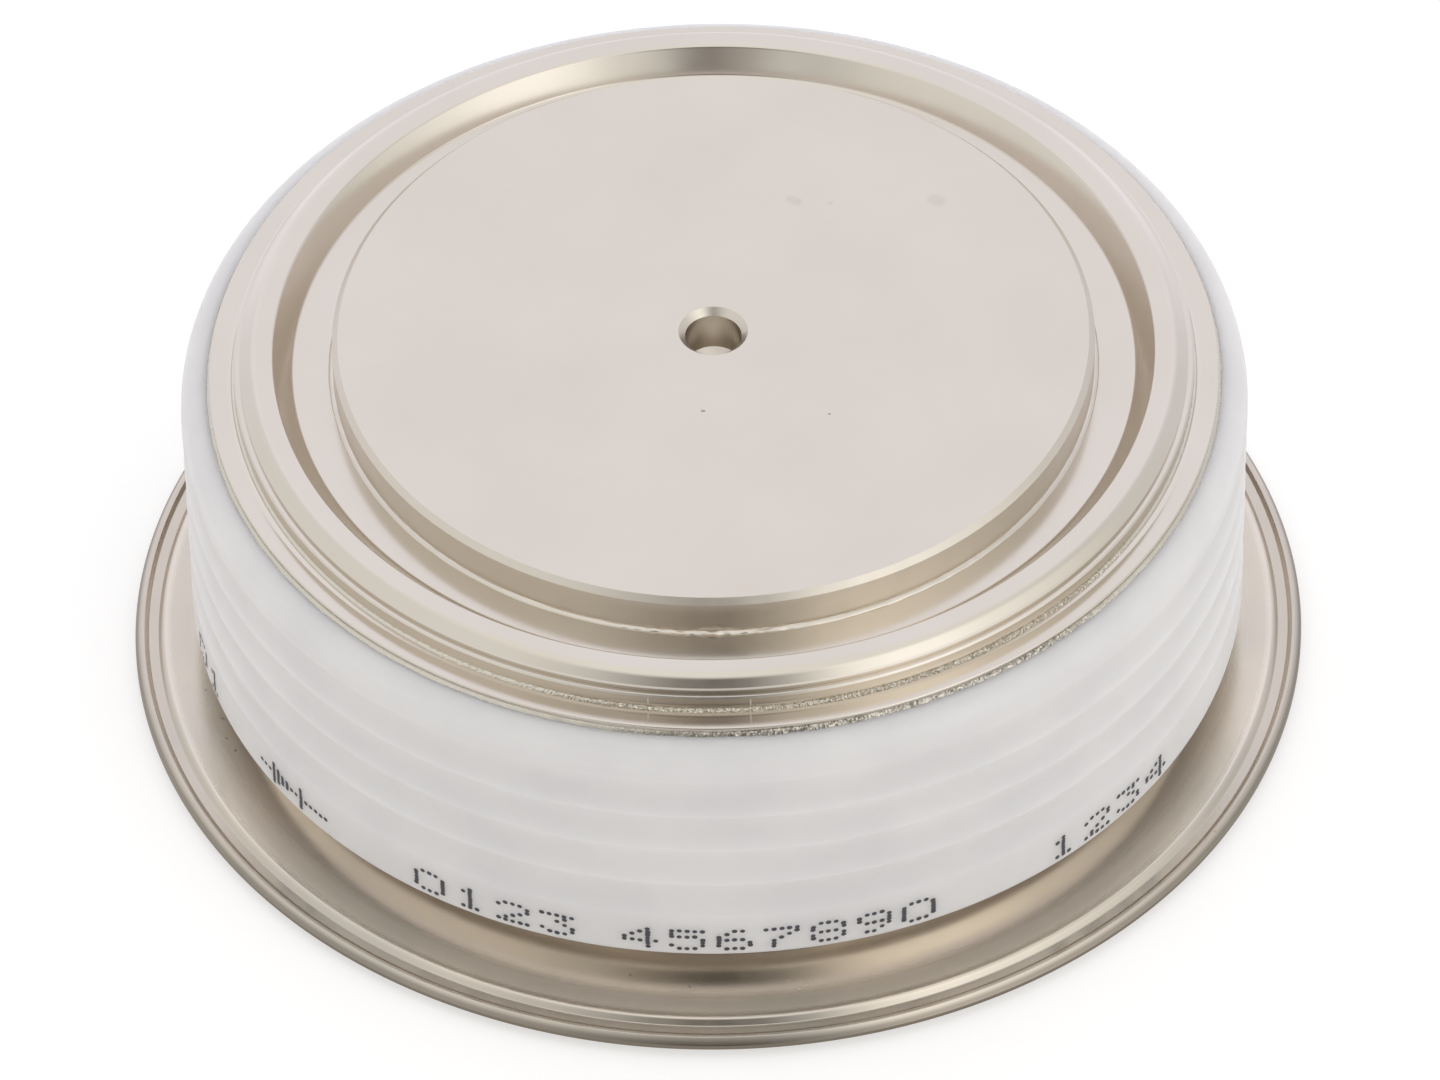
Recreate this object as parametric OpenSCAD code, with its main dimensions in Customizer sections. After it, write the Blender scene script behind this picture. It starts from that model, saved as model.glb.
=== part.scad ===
// Press-pack rectifier diode: a silicon wafer clamped between two copper pole
// pieces in a ribbed ceramic ring, closed at the top by a brazed, ridged
// diaphragm and at the bottom by two flange sheets cold-welded at the rim.
// Frame: Z is the axis of the stack, z = 0 is the lower contact face, units mm.

/* [Overall] */
// Height over the two contact faces
overall_h = 26; // [25:0.5:36]
// Diameter of the upper and lower contact faces
pole_d = 47; // [36:0.5:70]
// Height of the lower pole piece, from its contact face to the stack
lower_pole_h = 11; // [9:0.5:11]

/* [Radial build, from the poles outwards] */
// Width of the shoulder on each pole that carries its diaphragm
shoulder_w = 1.1; // [0.8:0.1:1.6]
// Free width between the pole shoulder and the ceramic bore
cavity_w = 2.6; // [2.1:0.1:5]
// Wall of the ceramic ring, bore to crest
ceramic_wall = 5.8; // [4.8:0.1:9]
// Reach of the flange rim beyond the ceramic
flange_reach = 3.8; // [2.8:0.1:6]

/* [Contact faces] */
// Chamfer round each contact face
face_chamfer = 0.35; // [0.1:0.05:0.5]
// Chamfer round the inner end of each pole
inner_chamfer = 0.4; // [0.1:0.1:0.8]
// Diameter of the centring hole in each contact face
hole_d = 3.5; // [2:0.1:6]
// Depth of the centring hole, without its drill point
hole_depth = 3; // [2:0.5:6]
// Width of the countersink at the mouth of the centring hole
hole_chamfer = 0.4; // [0.1:0.1:0.8]
// Full angle of the drill point
drill_angle = 118; // [90:1:140]

/* [Ceramic ring] */
// Drop from the upper contact face to the top of the ceramic
ceramic_drop = 3.5; // [3.2:0.1:5]
// Radius of the rounded upper shoulder
shoulder_round = 1.7; // [0.8:0.1:2]
// Radius of the lower outer edge
foot_round = 0.5; // [0.2:0.1:1]
// Chamfer at both ends of the bore
bore_chamfer = 0.3; // [0.1:0.1:0.6]
// Straight wall between the upper shoulder and the first groove
first_land = 0.7; // [0.2:0.1:2]
// Number of shallow grooves round the ring
groove_count = 4; // [2:1:4]
// Pitch of the grooves
groove_pitch = 2.94; // [2:0.02:3]
// Depth of the grooves below the crests
groove_depth = 0.21; // [0.1:0.01:0.4]
// Radius of the crest between two grooves
crest_round = 0.45; // [0.2:0.05:0.8]

/* [Upper closure] */
// Thickness of the brazed layers
braze_t = 0.1; // [0.05:0.05:0.2]
// Thickness of the flat ring brazed to the ceramic
cap_ring_t = 0.4; // [0.3:0.05:0.5]
// Distance of the flat ring inside the ceramic's rounded shoulder
cap_ring_in = 0.1; // [0:0.05:0.5]
// Step from the ceramic bore to the bore of the rings above it
ring_inset = 1; // [0.4:0.1:1.6]
// Radial width of the seal ring under the diaphragm's skirt
seal_ring_w = 1.45; // [1.1:0.05:1.8]
// Height of the seal ring at its outer wall
seal_ring_h = 0.9; // [0.7:0.1:1.5]
// Height of the land that carries the skirt above the outer wall
crease_h = 0.1; // [0.05:0.05:0.2]
// Distance of the skirt inside the seal ring's outer wall
skirt_setback = 0.4; // [0.2:0.05:0.5]
// Edge break on the outer top edge of both rings
ring_break = 0.1; // [0.05:0.05:0.2]
// Overlap of the land with the skirt
land_overlap = 0.2; // [0.1:0.05:0.3]
// Thickness of the upper diaphragm
upper_sheet_t = 0.4; // [0.2:0.1:0.5]
// Flat width of the ridge's crown
crown_w = 1; // [0.5:0.05:1.4]
// Rise of the ridge above the floor of the groove
ridge_rise = 1.5; // [1:0.1:1.7]
// Centre-line radius of the bends on the flanks of both diaphragms
ridge_bend = 0.75; // [0.35:0.05:0.8]
// Drop from the top of the ridge to the land that carries the skirt
skirt_drop = 0.8; // [0.7:0.1:1.2]
// Inner radius of the bend into the sloping skirt
skirt_bend_in = 0.05; // [0.05:0.05:0.4]
// Height of the skirt's upright trimmed edge
skirt_edge = 0.1; // [0.05:0.05:0.2]

/* [Flange and lower closure] */
// Height of the rim's underside above the lower contact face
rim_lift = 0.6; // [0.3:0.1:0.8]
// Thickness of each sheet of the flange
flange_t = 0.5; // [0.3:0.1:0.6]
// Distance of the neck's outer wall outside the ceramic bore
neck_offset = 2.3; // [1.9:0.1:3]
// Centre-line radius of the bends at both ends of the neck
neck_bend = 0.5; // [0.35:0.05:0.7]
// Straight height of the neck between its bends
neck_leg = 2.2; // [0.5:0.1:4]
// Width of the coined band at the rim, on both sides
coined_w = 1.75; // [1.4:0.05:1.9]
// Width of the slope down to the coined band
coined_slope = 0.4; // [0.1:0.05:0.6]
// Depth of the coined band
coined_depth = 0.1; // [0.05:0.05:0.15]
// Width of the cold-weld groove
weld_groove_w = 0.5; // [0.3:0.05:0.6]
// Depth of the cold-weld groove in each sheet, below the coined band
weld_groove_depth = 0.25; // [0.1:0.05:0.25]
// Distance of the groove's middle from the rim's edge
weld_groove_in = 1; // [0.8:0.05:1.3]
// Edge break on both sides of the seam between the two sheets
seam_break = 0.08; // [0.04:0.02:0.12]
// Rise of the lower diaphragm's hub above its rim
hub_lift = 0.3; // [0.1:0.1:0.5]
// Rise of the lower diaphragm's corrugation above its hub
corrugation_rise = 1; // [0.7:0.1:1.4]
// Distance of the corrugation's inner corner outside the pole's shoulder
lower_floor_w = 0.5; // [0.4:0.1:0.9]
// Free gap between the corrugation's outer bend and the neck's inner wall
foot_gap = 0.15; // [0.05:0.05:0.5]

/* [Brazed joints] */
// Clearance between a pole and the hub of its diaphragm
hub_gap = 0.05; // [0.02:0.01:0.1]
// Width of the braze fillet round each pole
pole_fillet_w = 0.75; // [0.3:0.05:0.9]
// Height of the braze fillet round each pole
pole_fillet_h = 0.3; // [0.1:0.05:0.4]
// Width and height of the braze fillet at the foot of the seal ring
seal_fillet = 0.25; // [0.2:0.01:0.4]
// Width and height of the braze fillet at the edge of the flat ring
cap_fillet = 0.3; // [0.2:0.05:0.4]

/* [Stack] */
// Thickness of the silver foils
foil_t = 0.1; // [0.05:0.05:0.2]
// Distance of the foils inside the face they lie on
foil_inset = 0.6; // [0.4:0.1:2]
// Thickness of the anode disc, molybdenum
anode_disc_t = 2.2; // [1.5:0.1:2.5]
// Overhang of the anode disc beyond the pole's shoulder radius
disc_overhang = 0.8; // [0.5:0.1:1.2]
// Thickness of the silicon wafer
wafer_t = 0.45; // [0.3:0.05:0.6]
// Distance of the wafer inside the anode disc
wafer_inset = 0.6; // [0.4:0.1:1]
// Width of the bevel on the wafer's edge
wafer_bevel = 0.6; // [0.3:0.1:1]
// Thickness of the cathode disc, molybdenum
cathode_disc_t = 1; // [0.8:0.1:1.2]
// Distance of the cathode disc inside the wafer
cathode_inset = 1.8; // [1.5:0.1:2.4]
// Edge radius or chamfer of the molybdenum discs
disc_chamfer = 0.15; // [0.05:0.05:0.3]
// Height of the silicone passivation ring above the anode disc
passivation_h = 1.1; // [0.9:0.1:1.3]
// Overlap of the passivation ring on the wafer's top
passivation_lap = 0.6; // [0.3:0.1:1]

/* [Centring ring] */
// Clearance of the centring ring to the ceramic and to the disc
centring_gap = 0.1; // [0.05:0.05:0.2]
// Height of the lip under the anode disc
lip_h = 0.8; // [0.5:0.1:1.5]
// Height of the centring ring above the lip
centring_h = 4.1; // [3:0.1:5]

/* [Hidden] */
$fn = 144;
eps = 0.01;

// Radii
pole_r = pole_d / 2;
shoulder_r = pole_r + shoulder_w;
bore_r = shoulder_r + cavity_w;
ceramic_r = bore_r + ceramic_wall;
rim_r = ceramic_r + flange_reach;
ring_in_r = bore_r + ring_inset;
cap_ring_r = ceramic_r - shoulder_round - cap_ring_in;
seal_ring_r = ring_in_r + seal_ring_w;
skirt_r = seal_ring_r - skirt_setback;
hub_r = pole_r + hub_gap;
neck_r = bore_r + neck_offset;
anode_disc_r = shoulder_r + disc_overhang;
wafer_r = anode_disc_r - wafer_inset;
cathode_disc_r = wafer_r - cathode_inset;
hole_r = hole_d / 2;

// Heights of the closures
ceramic_top = overall_h - ceramic_drop;
cap_ring_z = ceramic_top + braze_t;
cap_ring_top = cap_ring_z + cap_ring_t;
seal_ring_z = cap_ring_top + braze_t;
seal_ring_top = seal_ring_z + seal_ring_h;
skirt_z = seal_ring_top + crease_h;
crown_z = skirt_z + skirt_drop - upper_sheet_t / 2;
floor_z = crown_z - ridge_rise;
upper_seat_z = floor_z - upper_sheet_t / 2 - braze_t;
rim_seam_z = rim_lift + flange_t;
rim_upper_z = rim_seam_z + flange_t / 2;
rim_lower_z = rim_seam_z - flange_t / 2;
neck_top_z = rim_upper_z + neck_leg + 2 * neck_bend;
ceramic_foot = neck_top_z + flange_t / 2 + braze_t;
hub_z = rim_lower_z + hub_lift;
lower_seat_z = hub_z + flange_t / 2 + braze_t;

// Heights of the stack
lower_foil_z = lower_pole_h;
anode_disc_z = lower_foil_z + foil_t;
wafer_z = anode_disc_z + anode_disc_t;
cathode_disc_z = wafer_z + wafer_t;
upper_foil_z = cathode_disc_z + cathode_disc_t;
upper_pole_z = upper_foil_z + foil_t;

// Flanks of the formed ridges rise four for every three outwards. A sheet
// cut level across its flank shows flank_cut times its thickness, and a bend
// onto a flank takes flank_trim times its radius from each leg
flank_run = 3 / 4;
flank_cut = norm([1, flank_run]);
flank_trim = (flank_cut - flank_run);

// Grooved wall: crest and groove circles that are tangent to each other
groove_span = (groove_pitch * groove_pitch / 4 + groove_depth * groove_depth)
    / (2 * groove_depth);
groove_r = groove_span - crest_round;
groove_x = ceramic_r - crest_round + groove_span - groove_depth;
crest_cos = (groove_span - groove_depth) / groove_span;
crest_sin = groove_pitch / 2 / groove_span;
crest_x = ceramic_r - crest_round * (1 - crest_cos);
first_crest_z = ceramic_top - shoulder_round - first_land;
last_crest_z = first_crest_z - groove_count * groove_pitch;

// Vectors in the section plane
function unit(v) = v / norm(v);
function left_of(v) = [-v[1], v[0]];
function turn(a, b) = atan2(a[0] * b[1] - a[1] * b[0], a * b);
// Length that the bend at point i takes from each of its legs
function bend_trim(path, bends, i) =
    i <= 0 || i >= len(path) - 1 ? 0
    : bends[i] * tan(abs(turn(path[i] - path[i - 1], path[i + 1] - path[i])) / 2);

// Upright rectangle in the section plane
module block(r0, r1, z0, z1) {
    translate([r0, z0]) square([r1 - r0, z1 - z0]);
}

// Section of a formed sheet: straight legs joined by true bends, each bend
// given by its centre-line radius
module sheet_section(path, bends, thick) {
    for (i = [0 : len(path) - 2]) {
        way = unit(path[i + 1] - path[i]);
        start = path[i] + way * bend_trim(path, bends, i);
        end = path[i + 1] - way * bend_trim(path, bends, i + 1);
        side = left_of(way) * thick / 2;
        polygon([start - side, end - side, end + side, start + side]);
    }
    for (i = [1 : len(path) - 2]) {
        way_in = unit(path[i] - path[i - 1]);
        way_out = unit(path[i + 1] - path[i]);
        hand = turn(way_in, way_out) > 0 ? 1 : -1;
        start = path[i] - way_in * bend_trim(path, bends, i);
        end = path[i] + way_out * bend_trim(path, bends, i);
        centre = start + left_of(way_in) * hand * bends[i];
        intersection() {
            difference() {
                translate(centre) circle(r = bends[i] + thick / 2);
                translate(centre) circle(r = bends[i] - thick / 2);
            }
            polygon([centre, 2 * start - centre, 2 * path[i] - centre, 2 * end - centre]);
        }
    }
}

// Half-lens of braze: w wide on the sheet, h high on the pole, mirrored by dir
module fillet_section(r, z, w, h, dir) {
    drop = (w * w - h * h) / (2 * h);
    intersection() {
        translate([r, z - dir * drop]) circle(r = drop + h);
        translate([r, dir > 0 ? z : z - h]) square([w, h]);
    }
}

// Blind centring hole with countersink and drill point, mouth at z = 0 facing up
module centring_hole() {
    point_h = hole_r / tan(drill_angle / 2);
    translate([0, 0, -hole_depth]) cylinder(r = hole_r, h = hole_depth + eps);
    translate([0, 0, -hole_depth - point_h]) cylinder(r1 = 0, r2 = hole_r, h = point_h);
    translate([0, 0, -hole_chamfer])
        cylinder(r1 = hole_r, r2 = hole_r + hole_chamfer, h = hole_chamfer);
}

// Copper pole standing on its inner end: shoulder, neck, face and hole
module pole(length, neck_l) {
    difference() {
        rotate_extrude() {
            polygon([
                [0, 0],
                [shoulder_r - inner_chamfer, 0],
                [shoulder_r, inner_chamfer],
                [shoulder_r, length - neck_l],
                [pole_r, length - neck_l],
                [pole_r, length - face_chamfer],
                [pole_r - face_chamfer, length],
                [0, length]
            ]);
        }
        translate([0, 0, length]) centring_hole();
    }
}

module upper_pole() {
    color([0.85, 0.82, 0.79])
        translate([0, 0, upper_pole_z])
            pole(overall_h - upper_pole_z, overall_h - upper_seat_z);
}

module lower_pole() {
    color([0.85, 0.82, 0.79])
        translate([0, 0, lower_pole_h])
            mirror([0, 0, 1])
                pole(lower_pole_h, lower_seat_z);
}

// Outer flank of the ridge, where its middle line meets the height z
function skirt_mid(z) =
    skirt_r - upper_sheet_t * flank_cut / 2 - (z - skirt_z - skirt_edge) * flank_run;

// Hub, groove floor, ridge and sloping skirt, formed from one sheet; the skirt
// is trimmed level where it stands on the land and upright at its edge
module upper_diaphragm() {
    skirt_bend = skirt_bend_in + upper_sheet_t / 2;
    crown_out = skirt_mid(crown_z);
    crown_in = crown_out - (skirt_bend + ridge_bend) * flank_trim - crown_w;
    skirt_end_z = skirt_z - upper_sheet_t;
    color([0.82, 0.79, 0.76])
        rotate_extrude()
            difference() {
                sheet_section(
                    [[hub_r, floor_z], [crown_in - ridge_rise * flank_run, floor_z],
                     [crown_in, crown_z], [crown_out, crown_z],
                     [skirt_mid(skirt_end_z), skirt_end_z]],
                    [0, ridge_bend, ridge_bend, skirt_bend, 0],
                    upper_sheet_t);
                block(crown_out, seal_ring_r, skirt_end_z - upper_sheet_t, skirt_z);
                block(skirt_r, seal_ring_r + upper_sheet_t,
                      skirt_end_z - upper_sheet_t, crown_z);
            }
}

module upper_pole_braze() {
    sheet_top = floor_z + upper_sheet_t / 2;
    color([0.74, 0.70, 0.64])
        rotate_extrude() {
            block(pole_r, shoulder_r, upper_seat_z, upper_seat_z + braze_t);
            block(pole_r, hub_r, upper_seat_z, sheet_top);
            fillet_section(pole_r, sheet_top, pole_fillet_w, pole_fillet_h, 1);
        }
}

// Stepped ring: the land carries the skirt, the lower rim leaves the crease
module seal_ring() {
    land_r = skirt_mid(skirt_z) - upper_sheet_t * flank_cut / 2 + land_overlap;
    color([0.78, 0.75, 0.71])
        rotate_extrude()
            polygon([
                [ring_in_r, seal_ring_z],
                [seal_ring_r, seal_ring_z],
                [seal_ring_r, seal_ring_top - ring_break],
                [seal_ring_r - ring_break, seal_ring_top],
                [land_r, seal_ring_top],
                [land_r, skirt_z],
                [ring_in_r, skirt_z]
            ]);
}

// Brazed layer under a ring of radius r, with the fillet round its outer edge
module ring_braze(r, z, fillet) {
    rotate_extrude()
        polygon([
            [ring_in_r, z],
            [r + fillet, z],
            [r, z + fillet],
            [r, z + braze_t],
            [ring_in_r, z + braze_t]
        ]);
}

module seal_ring_braze() {
    color([0.76, 0.72, 0.66])
        ring_braze(seal_ring_r, cap_ring_top, seal_fillet);
}

module cap_ring() {
    color([0.78, 0.75, 0.71])
        rotate_extrude()
            polygon([
                [ring_in_r, cap_ring_z],
                [cap_ring_r, cap_ring_z],
                [cap_ring_r, cap_ring_top - ring_break],
                [cap_ring_r - ring_break, cap_ring_top],
                [ring_in_r, cap_ring_top]
            ]);
}

module cap_ring_braze() {
    color([0.66, 0.64, 0.61])
        ring_braze(cap_ring_r, ceramic_top, cap_fillet);
}

// Rounded shoulder, shallow tangent grooves, plain printing band
module ceramic_section() {
    difference() {
        block(bore_r, crest_x, last_crest_z, first_crest_z);
        for (i = [0 : groove_count - 1])
            translate([groove_x, first_crest_z - (i + 0.5) * groove_pitch])
                circle(r = groove_r);
    }
    intersection() {
        for (i = [0 : groove_count])
            translate([ceramic_r - crest_round, first_crest_z - i * groove_pitch])
                circle(r = crest_round);
        block(crest_x, ceramic_r + eps, last_crest_z, first_crest_z);
    }
    block(bore_r, ceramic_r, first_crest_z, ceramic_top - shoulder_round);
    block(bore_r, ceramic_r - shoulder_round, ceramic_top - shoulder_round, ceramic_top);
    intersection() {
        translate([ceramic_r - shoulder_round, ceramic_top - shoulder_round])
            circle(r = shoulder_round);
        translate([ceramic_r - shoulder_round, ceramic_top - shoulder_round])
            square(shoulder_round);
    }
    block(bore_r, ceramic_r, ceramic_foot + foot_round, last_crest_z);
    block(bore_r, ceramic_r - foot_round, ceramic_foot, ceramic_foot + foot_round);
    intersection() {
        translate([ceramic_r - foot_round, ceramic_foot + foot_round])
            circle(r = foot_round);
        translate([ceramic_r - foot_round, ceramic_foot])
            square(foot_round);
    }
}

module ceramic_ring() {
    c = bore_chamfer;
    color([0.93, 0.93, 0.94])
        rotate_extrude()
            difference() {
                ceramic_section();
                polygon([
                    [bore_r, ceramic_top - c],
                    [bore_r + c, ceramic_top],
                    [bore_r, ceramic_top]
                ]);
                polygon([
                    [bore_r, ceramic_foot + c],
                    [bore_r + c, ceramic_foot],
                    [bore_r, ceramic_foot]
                ]);
            }
}

module housing_flange_braze() {
    color([0.66, 0.64, 0.61])
        rotate_extrude()
            block(bore_r + bore_chamfer, neck_r - flange_t / 2 - neck_bend,
                  ceramic_foot - braze_t, ceramic_foot);
}

// Coined band and weld groove, cut from the face at z; dir is the way out
module rim_marks(z, dir) {
    groove_bottom_z = z - dir * (coined_depth + weld_groove_depth);
    groove_mid_z = groove_bottom_z + dir * weld_groove_w / 2;
    polygon([
        [rim_r - coined_w - coined_slope, z],
        [rim_r - coined_w, z - dir * coined_depth],
        [rim_r + eps, z - dir * coined_depth],
        [rim_r + eps, z]
    ]);
    translate([rim_r - weld_groove_in, groove_mid_z]) circle(d = weld_groove_w);
}

// Edge break at the seam, cut from one sheet; dir points into that sheet
module seam_cut(dir) {
    polygon([
        [rim_r - seam_break, rim_seam_z],
        [rim_r, rim_seam_z],
        [rim_r, rim_seam_z + dir * seam_break]
    ]);
}

// Plate under the ceramic, neck and flat flange, formed from one sheet
module housing_flange() {
    neck_mid = neck_r - flange_t / 2;
    color([0.80, 0.77, 0.74])
        rotate_extrude()
            difference() {
                sheet_section(
                    [[bore_r + bore_chamfer, neck_top_z], [neck_mid, neck_top_z],
                     [neck_mid, rim_upper_z], [rim_r, rim_upper_z]],
                    [0, neck_bend, neck_bend, 0],
                    flange_t);
                rim_marks(rim_seam_z + flange_t, 1);
                seam_cut(1);
            }
}

// Hub under the pole's shoulder, corrugation and rim, formed from one sheet
module lower_diaphragm() {
    crown = hub_z + corrugation_rise;
    foot_in = shoulder_r + lower_floor_w;
    foot_out = neck_r - flange_t - foot_gap - ridge_bend * flank_trim;
    crown_in = foot_in + corrugation_rise * flank_run;
    crown_out = foot_out - (crown - rim_lower_z) * flank_run;
    color([0.80, 0.77, 0.74])
        rotate_extrude()
            difference() {
                sheet_section(
                    [[hub_r, hub_z], [foot_in, hub_z], [crown_in, crown],
                     [crown_out, crown], [foot_out, rim_lower_z], [rim_r, rim_lower_z]],
                    [0, ridge_bend, ridge_bend, ridge_bend, ridge_bend, 0],
                    flange_t);
                rim_marks(rim_seam_z - flange_t, -1);
                seam_cut(-1);
            }
}

module lower_pole_braze() {
    sheet_under = hub_z - flange_t / 2;
    color([0.74, 0.70, 0.64])
        rotate_extrude() {
            block(pole_r, shoulder_r, lower_seat_z - braze_t, lower_seat_z);
            block(pole_r, hub_r, sheet_under, lower_seat_z);
            fillet_section(pole_r, sheet_under, pole_fillet_w, pole_fillet_h, -1);
        }
}

// Flat disc with chamfered edges
module disc(r, z, t, c) {
    rotate_extrude()
        polygon([
            [0, z], [r - c, z], [r, z + c],
            [r, z + t - c], [r - c, z + t], [0, z + t]
        ]);
}

module lower_foil() {
    color([0.90, 0.90, 0.91])
        translate([0, 0, lower_foil_z])
            cylinder(r = shoulder_r - foil_inset, h = foil_t);
}

module anode_disc() {
    color([0.55, 0.56, 0.59])
        disc(anode_disc_r, anode_disc_z, anode_disc_t, disc_chamfer);
}

// Wafer with the bevelled edge that spreads the field at its rim
module silicon_wafer() {
    color([0.30, 0.32, 0.38])
        translate([0, 0, wafer_z])
            cylinder(r1 = wafer_r, r2 = wafer_r - wafer_bevel, h = wafer_t);
}

// Silicone cast round the wafer's edge, on the rim of the anode disc
module passivation_ring() {
    wafer_top_r = wafer_r - wafer_bevel;
    color([0.78, 0.66, 0.52])
        rotate_extrude()
            polygon([
                [wafer_r, wafer_z],
                [anode_disc_r - disc_chamfer, wafer_z],
                [anode_disc_r - disc_chamfer, wafer_z + passivation_h - disc_chamfer],
                [anode_disc_r - 2 * disc_chamfer, wafer_z + passivation_h],
                [wafer_top_r - passivation_lap + disc_chamfer, wafer_z + passivation_h],
                [wafer_top_r - passivation_lap, wafer_z + passivation_h - disc_chamfer],
                [wafer_top_r - passivation_lap, cathode_disc_z],
                [wafer_top_r, cathode_disc_z]
            ]);
}

module cathode_disc() {
    color([0.55, 0.56, 0.59])
        disc(cathode_disc_r, cathode_disc_z, cathode_disc_t, disc_chamfer);
}

module upper_foil() {
    color([0.90, 0.90, 0.91])
        translate([0, 0, upper_foil_z])
            cylinder(r = cathode_disc_r - foil_inset, h = foil_t);
}

// PTFE ring that keeps the stack central; its lip lies under the anode disc
module centring_ring() {
    lip_r = shoulder_r + centring_gap;
    body_r = anode_disc_r + centring_gap;
    color([0.96, 0.96, 0.94])
        rotate_extrude() {
            block(lip_r, bore_r - centring_gap, anode_disc_z - lip_h, anode_disc_z);
            block(body_r, bore_r - centring_gap, anode_disc_z, anode_disc_z + centring_h);
        }
}

upper_pole();
upper_diaphragm();
upper_pole_braze();
seal_ring();
seal_ring_braze();
cap_ring();
cap_ring_braze();
ceramic_ring();
housing_flange_braze();
housing_flange();
lower_diaphragm();
lower_pole_braze();
lower_pole();
lower_foil();
anode_disc();
silicon_wafer();
passivation_ring();
cathode_disc();
upper_foil();
centring_ring();
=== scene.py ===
"""Press-pack rectifier diode: formed sheets, glazed ceramic, braze, ink marks, finishes, stage.

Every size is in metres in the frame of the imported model. Z is the axis of the stack, and
z = 0 is the lower contact face, which stands on the floor.
"""
import math
import random

import bmesh
import bpy
from mathutils import Matrix, Vector


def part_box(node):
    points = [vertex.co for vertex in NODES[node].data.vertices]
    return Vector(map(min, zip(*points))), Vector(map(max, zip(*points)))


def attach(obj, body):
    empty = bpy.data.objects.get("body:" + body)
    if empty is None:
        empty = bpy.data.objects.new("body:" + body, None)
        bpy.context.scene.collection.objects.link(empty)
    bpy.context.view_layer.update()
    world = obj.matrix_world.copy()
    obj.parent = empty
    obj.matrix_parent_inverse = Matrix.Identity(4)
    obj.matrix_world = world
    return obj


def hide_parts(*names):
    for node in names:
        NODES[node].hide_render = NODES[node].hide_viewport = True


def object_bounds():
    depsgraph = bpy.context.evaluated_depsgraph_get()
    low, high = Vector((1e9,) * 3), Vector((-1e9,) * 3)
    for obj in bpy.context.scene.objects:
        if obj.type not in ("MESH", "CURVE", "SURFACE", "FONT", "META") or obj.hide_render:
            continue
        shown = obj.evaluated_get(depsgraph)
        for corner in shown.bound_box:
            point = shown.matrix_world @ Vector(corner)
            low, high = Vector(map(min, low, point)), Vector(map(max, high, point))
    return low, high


bl_info = {
    "name": "Press-pack diode",
    "version": (1, 1, 0),
    "blender": (4, 5, 0),
    "location": "3D View > Sidebar > Diode",
    "description": "Finishes the packed diode with sheets, glaze, braze, marks and a studio stage",
    "category": "Object",
}

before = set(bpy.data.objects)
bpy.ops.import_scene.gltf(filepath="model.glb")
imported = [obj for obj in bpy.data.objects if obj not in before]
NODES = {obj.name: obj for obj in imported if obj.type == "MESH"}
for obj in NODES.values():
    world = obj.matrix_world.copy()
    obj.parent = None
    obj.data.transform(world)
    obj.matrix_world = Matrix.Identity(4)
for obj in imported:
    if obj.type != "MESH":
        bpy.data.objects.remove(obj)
cad_low, cad_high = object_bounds()

MM = 0.001
WELD = 0.0005 * MM  # points closer than this are one
NODE_MARGIN = 0.4 * MM  # how far a spun piece may reach past the node that it stands for
FILLET_STEPS = 720  # the beads are turned in finer steps than the sheets, for their lumps
BEAD_STEPS = 1500

# Ceramic ring in millimetres: wall radius, then the crests and grooves of its outline
WALL = 33.0
TOP_CREST = 20.1
CREST_PITCH = 2.94
CREST_ARC = (32.55, 0.45)
GROOVE_ARC = (37.59, 4.8)
CREST_HALF_TURN = 16.26
LAST_CREST = 4
POLE_MIRROR = 24.3  # a height at the upper pole and its image at the lower pole add up to this

# Arcs of an outline: degrees a step at most, and how close to an arc a flat stretch is held, where
# it is long enough
ARC_STEP = 8
FLAT_HOLD = 0.06
FLAT_LENGTH = 0.3

# Outlines in millimetres as (radius, height, corner radius), turned round the Z axis
UPPER_DIAPHRAGM = (
    (23.55, 23.40, 0), (26.00, 23.40, 0.30), (27.25, 24.90, 0.26), (28.52, 24.90, 0.80),
    (29.14, 24.315, 0.08), (29.25, 24.24, 0.03), (29.25, 24.01, 0), (29.04, 24.01, 0),
    (29.04, 24.10, 0), (28.825, 24.10, 0), (28.42, 24.50, 0.05), (27.225, 24.50, 0.55),
    (26.10, 23.00, 0.95), (23.55, 23.00, 0))
HOUSING_FLANGE = (
    (27.50, 4.80, 0), (29.50, 4.80, 0.75), (29.50, 1.60, 0.25), (34.98, 1.60, 0.35),
    (35.34, 1.24, 0.12), (35.95, 1.22, 0.12), (36.20, 1.44, 0.06), (36.40, 1.44, 0.10),
    (36.78, 1.14, 0.03), (36.72, 1.10, 0), (29.00, 1.10, 0.75), (29.00, 4.30, 0.25), (27.50, 4.30, 0))
LOWER_DIAPHRAGM = (
    (23.55, 1.40, 0), (24.975, 1.40, 0.50), (25.725, 2.40, 0.98), (27.625, 2.40, 0.98),
    (28.60, 1.10, 0.48), (36.72, 1.10, 0), (36.80, 1.02, 0.03), (36.80, 0.70, 0.06),
    (36.05, 0.70, 0.04), (36.05, 0.95, 0.20), (35.55, 0.95, 0.20), (35.55, 0.70, 0.04),
    (35.05, 0.70, 0.40), (34.65, 0.60, 0.40), (28.35, 0.60, 0.98), (27.375, 1.90, 0.48),
    (25.975, 1.90, 0.48), (25.225, 0.90, 0.98), (23.55, 0.90, 0))
CAP_RING = (
    (28.20, 22.60, 0), (31.20, 22.60, 0.04), (31.20, 22.99, 0.10), (30.10, 22.90, 0.50),
    (29.60, 22.98, 0), (29.60, 23.00, 0), (28.20, 23.00, 0))
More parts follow.
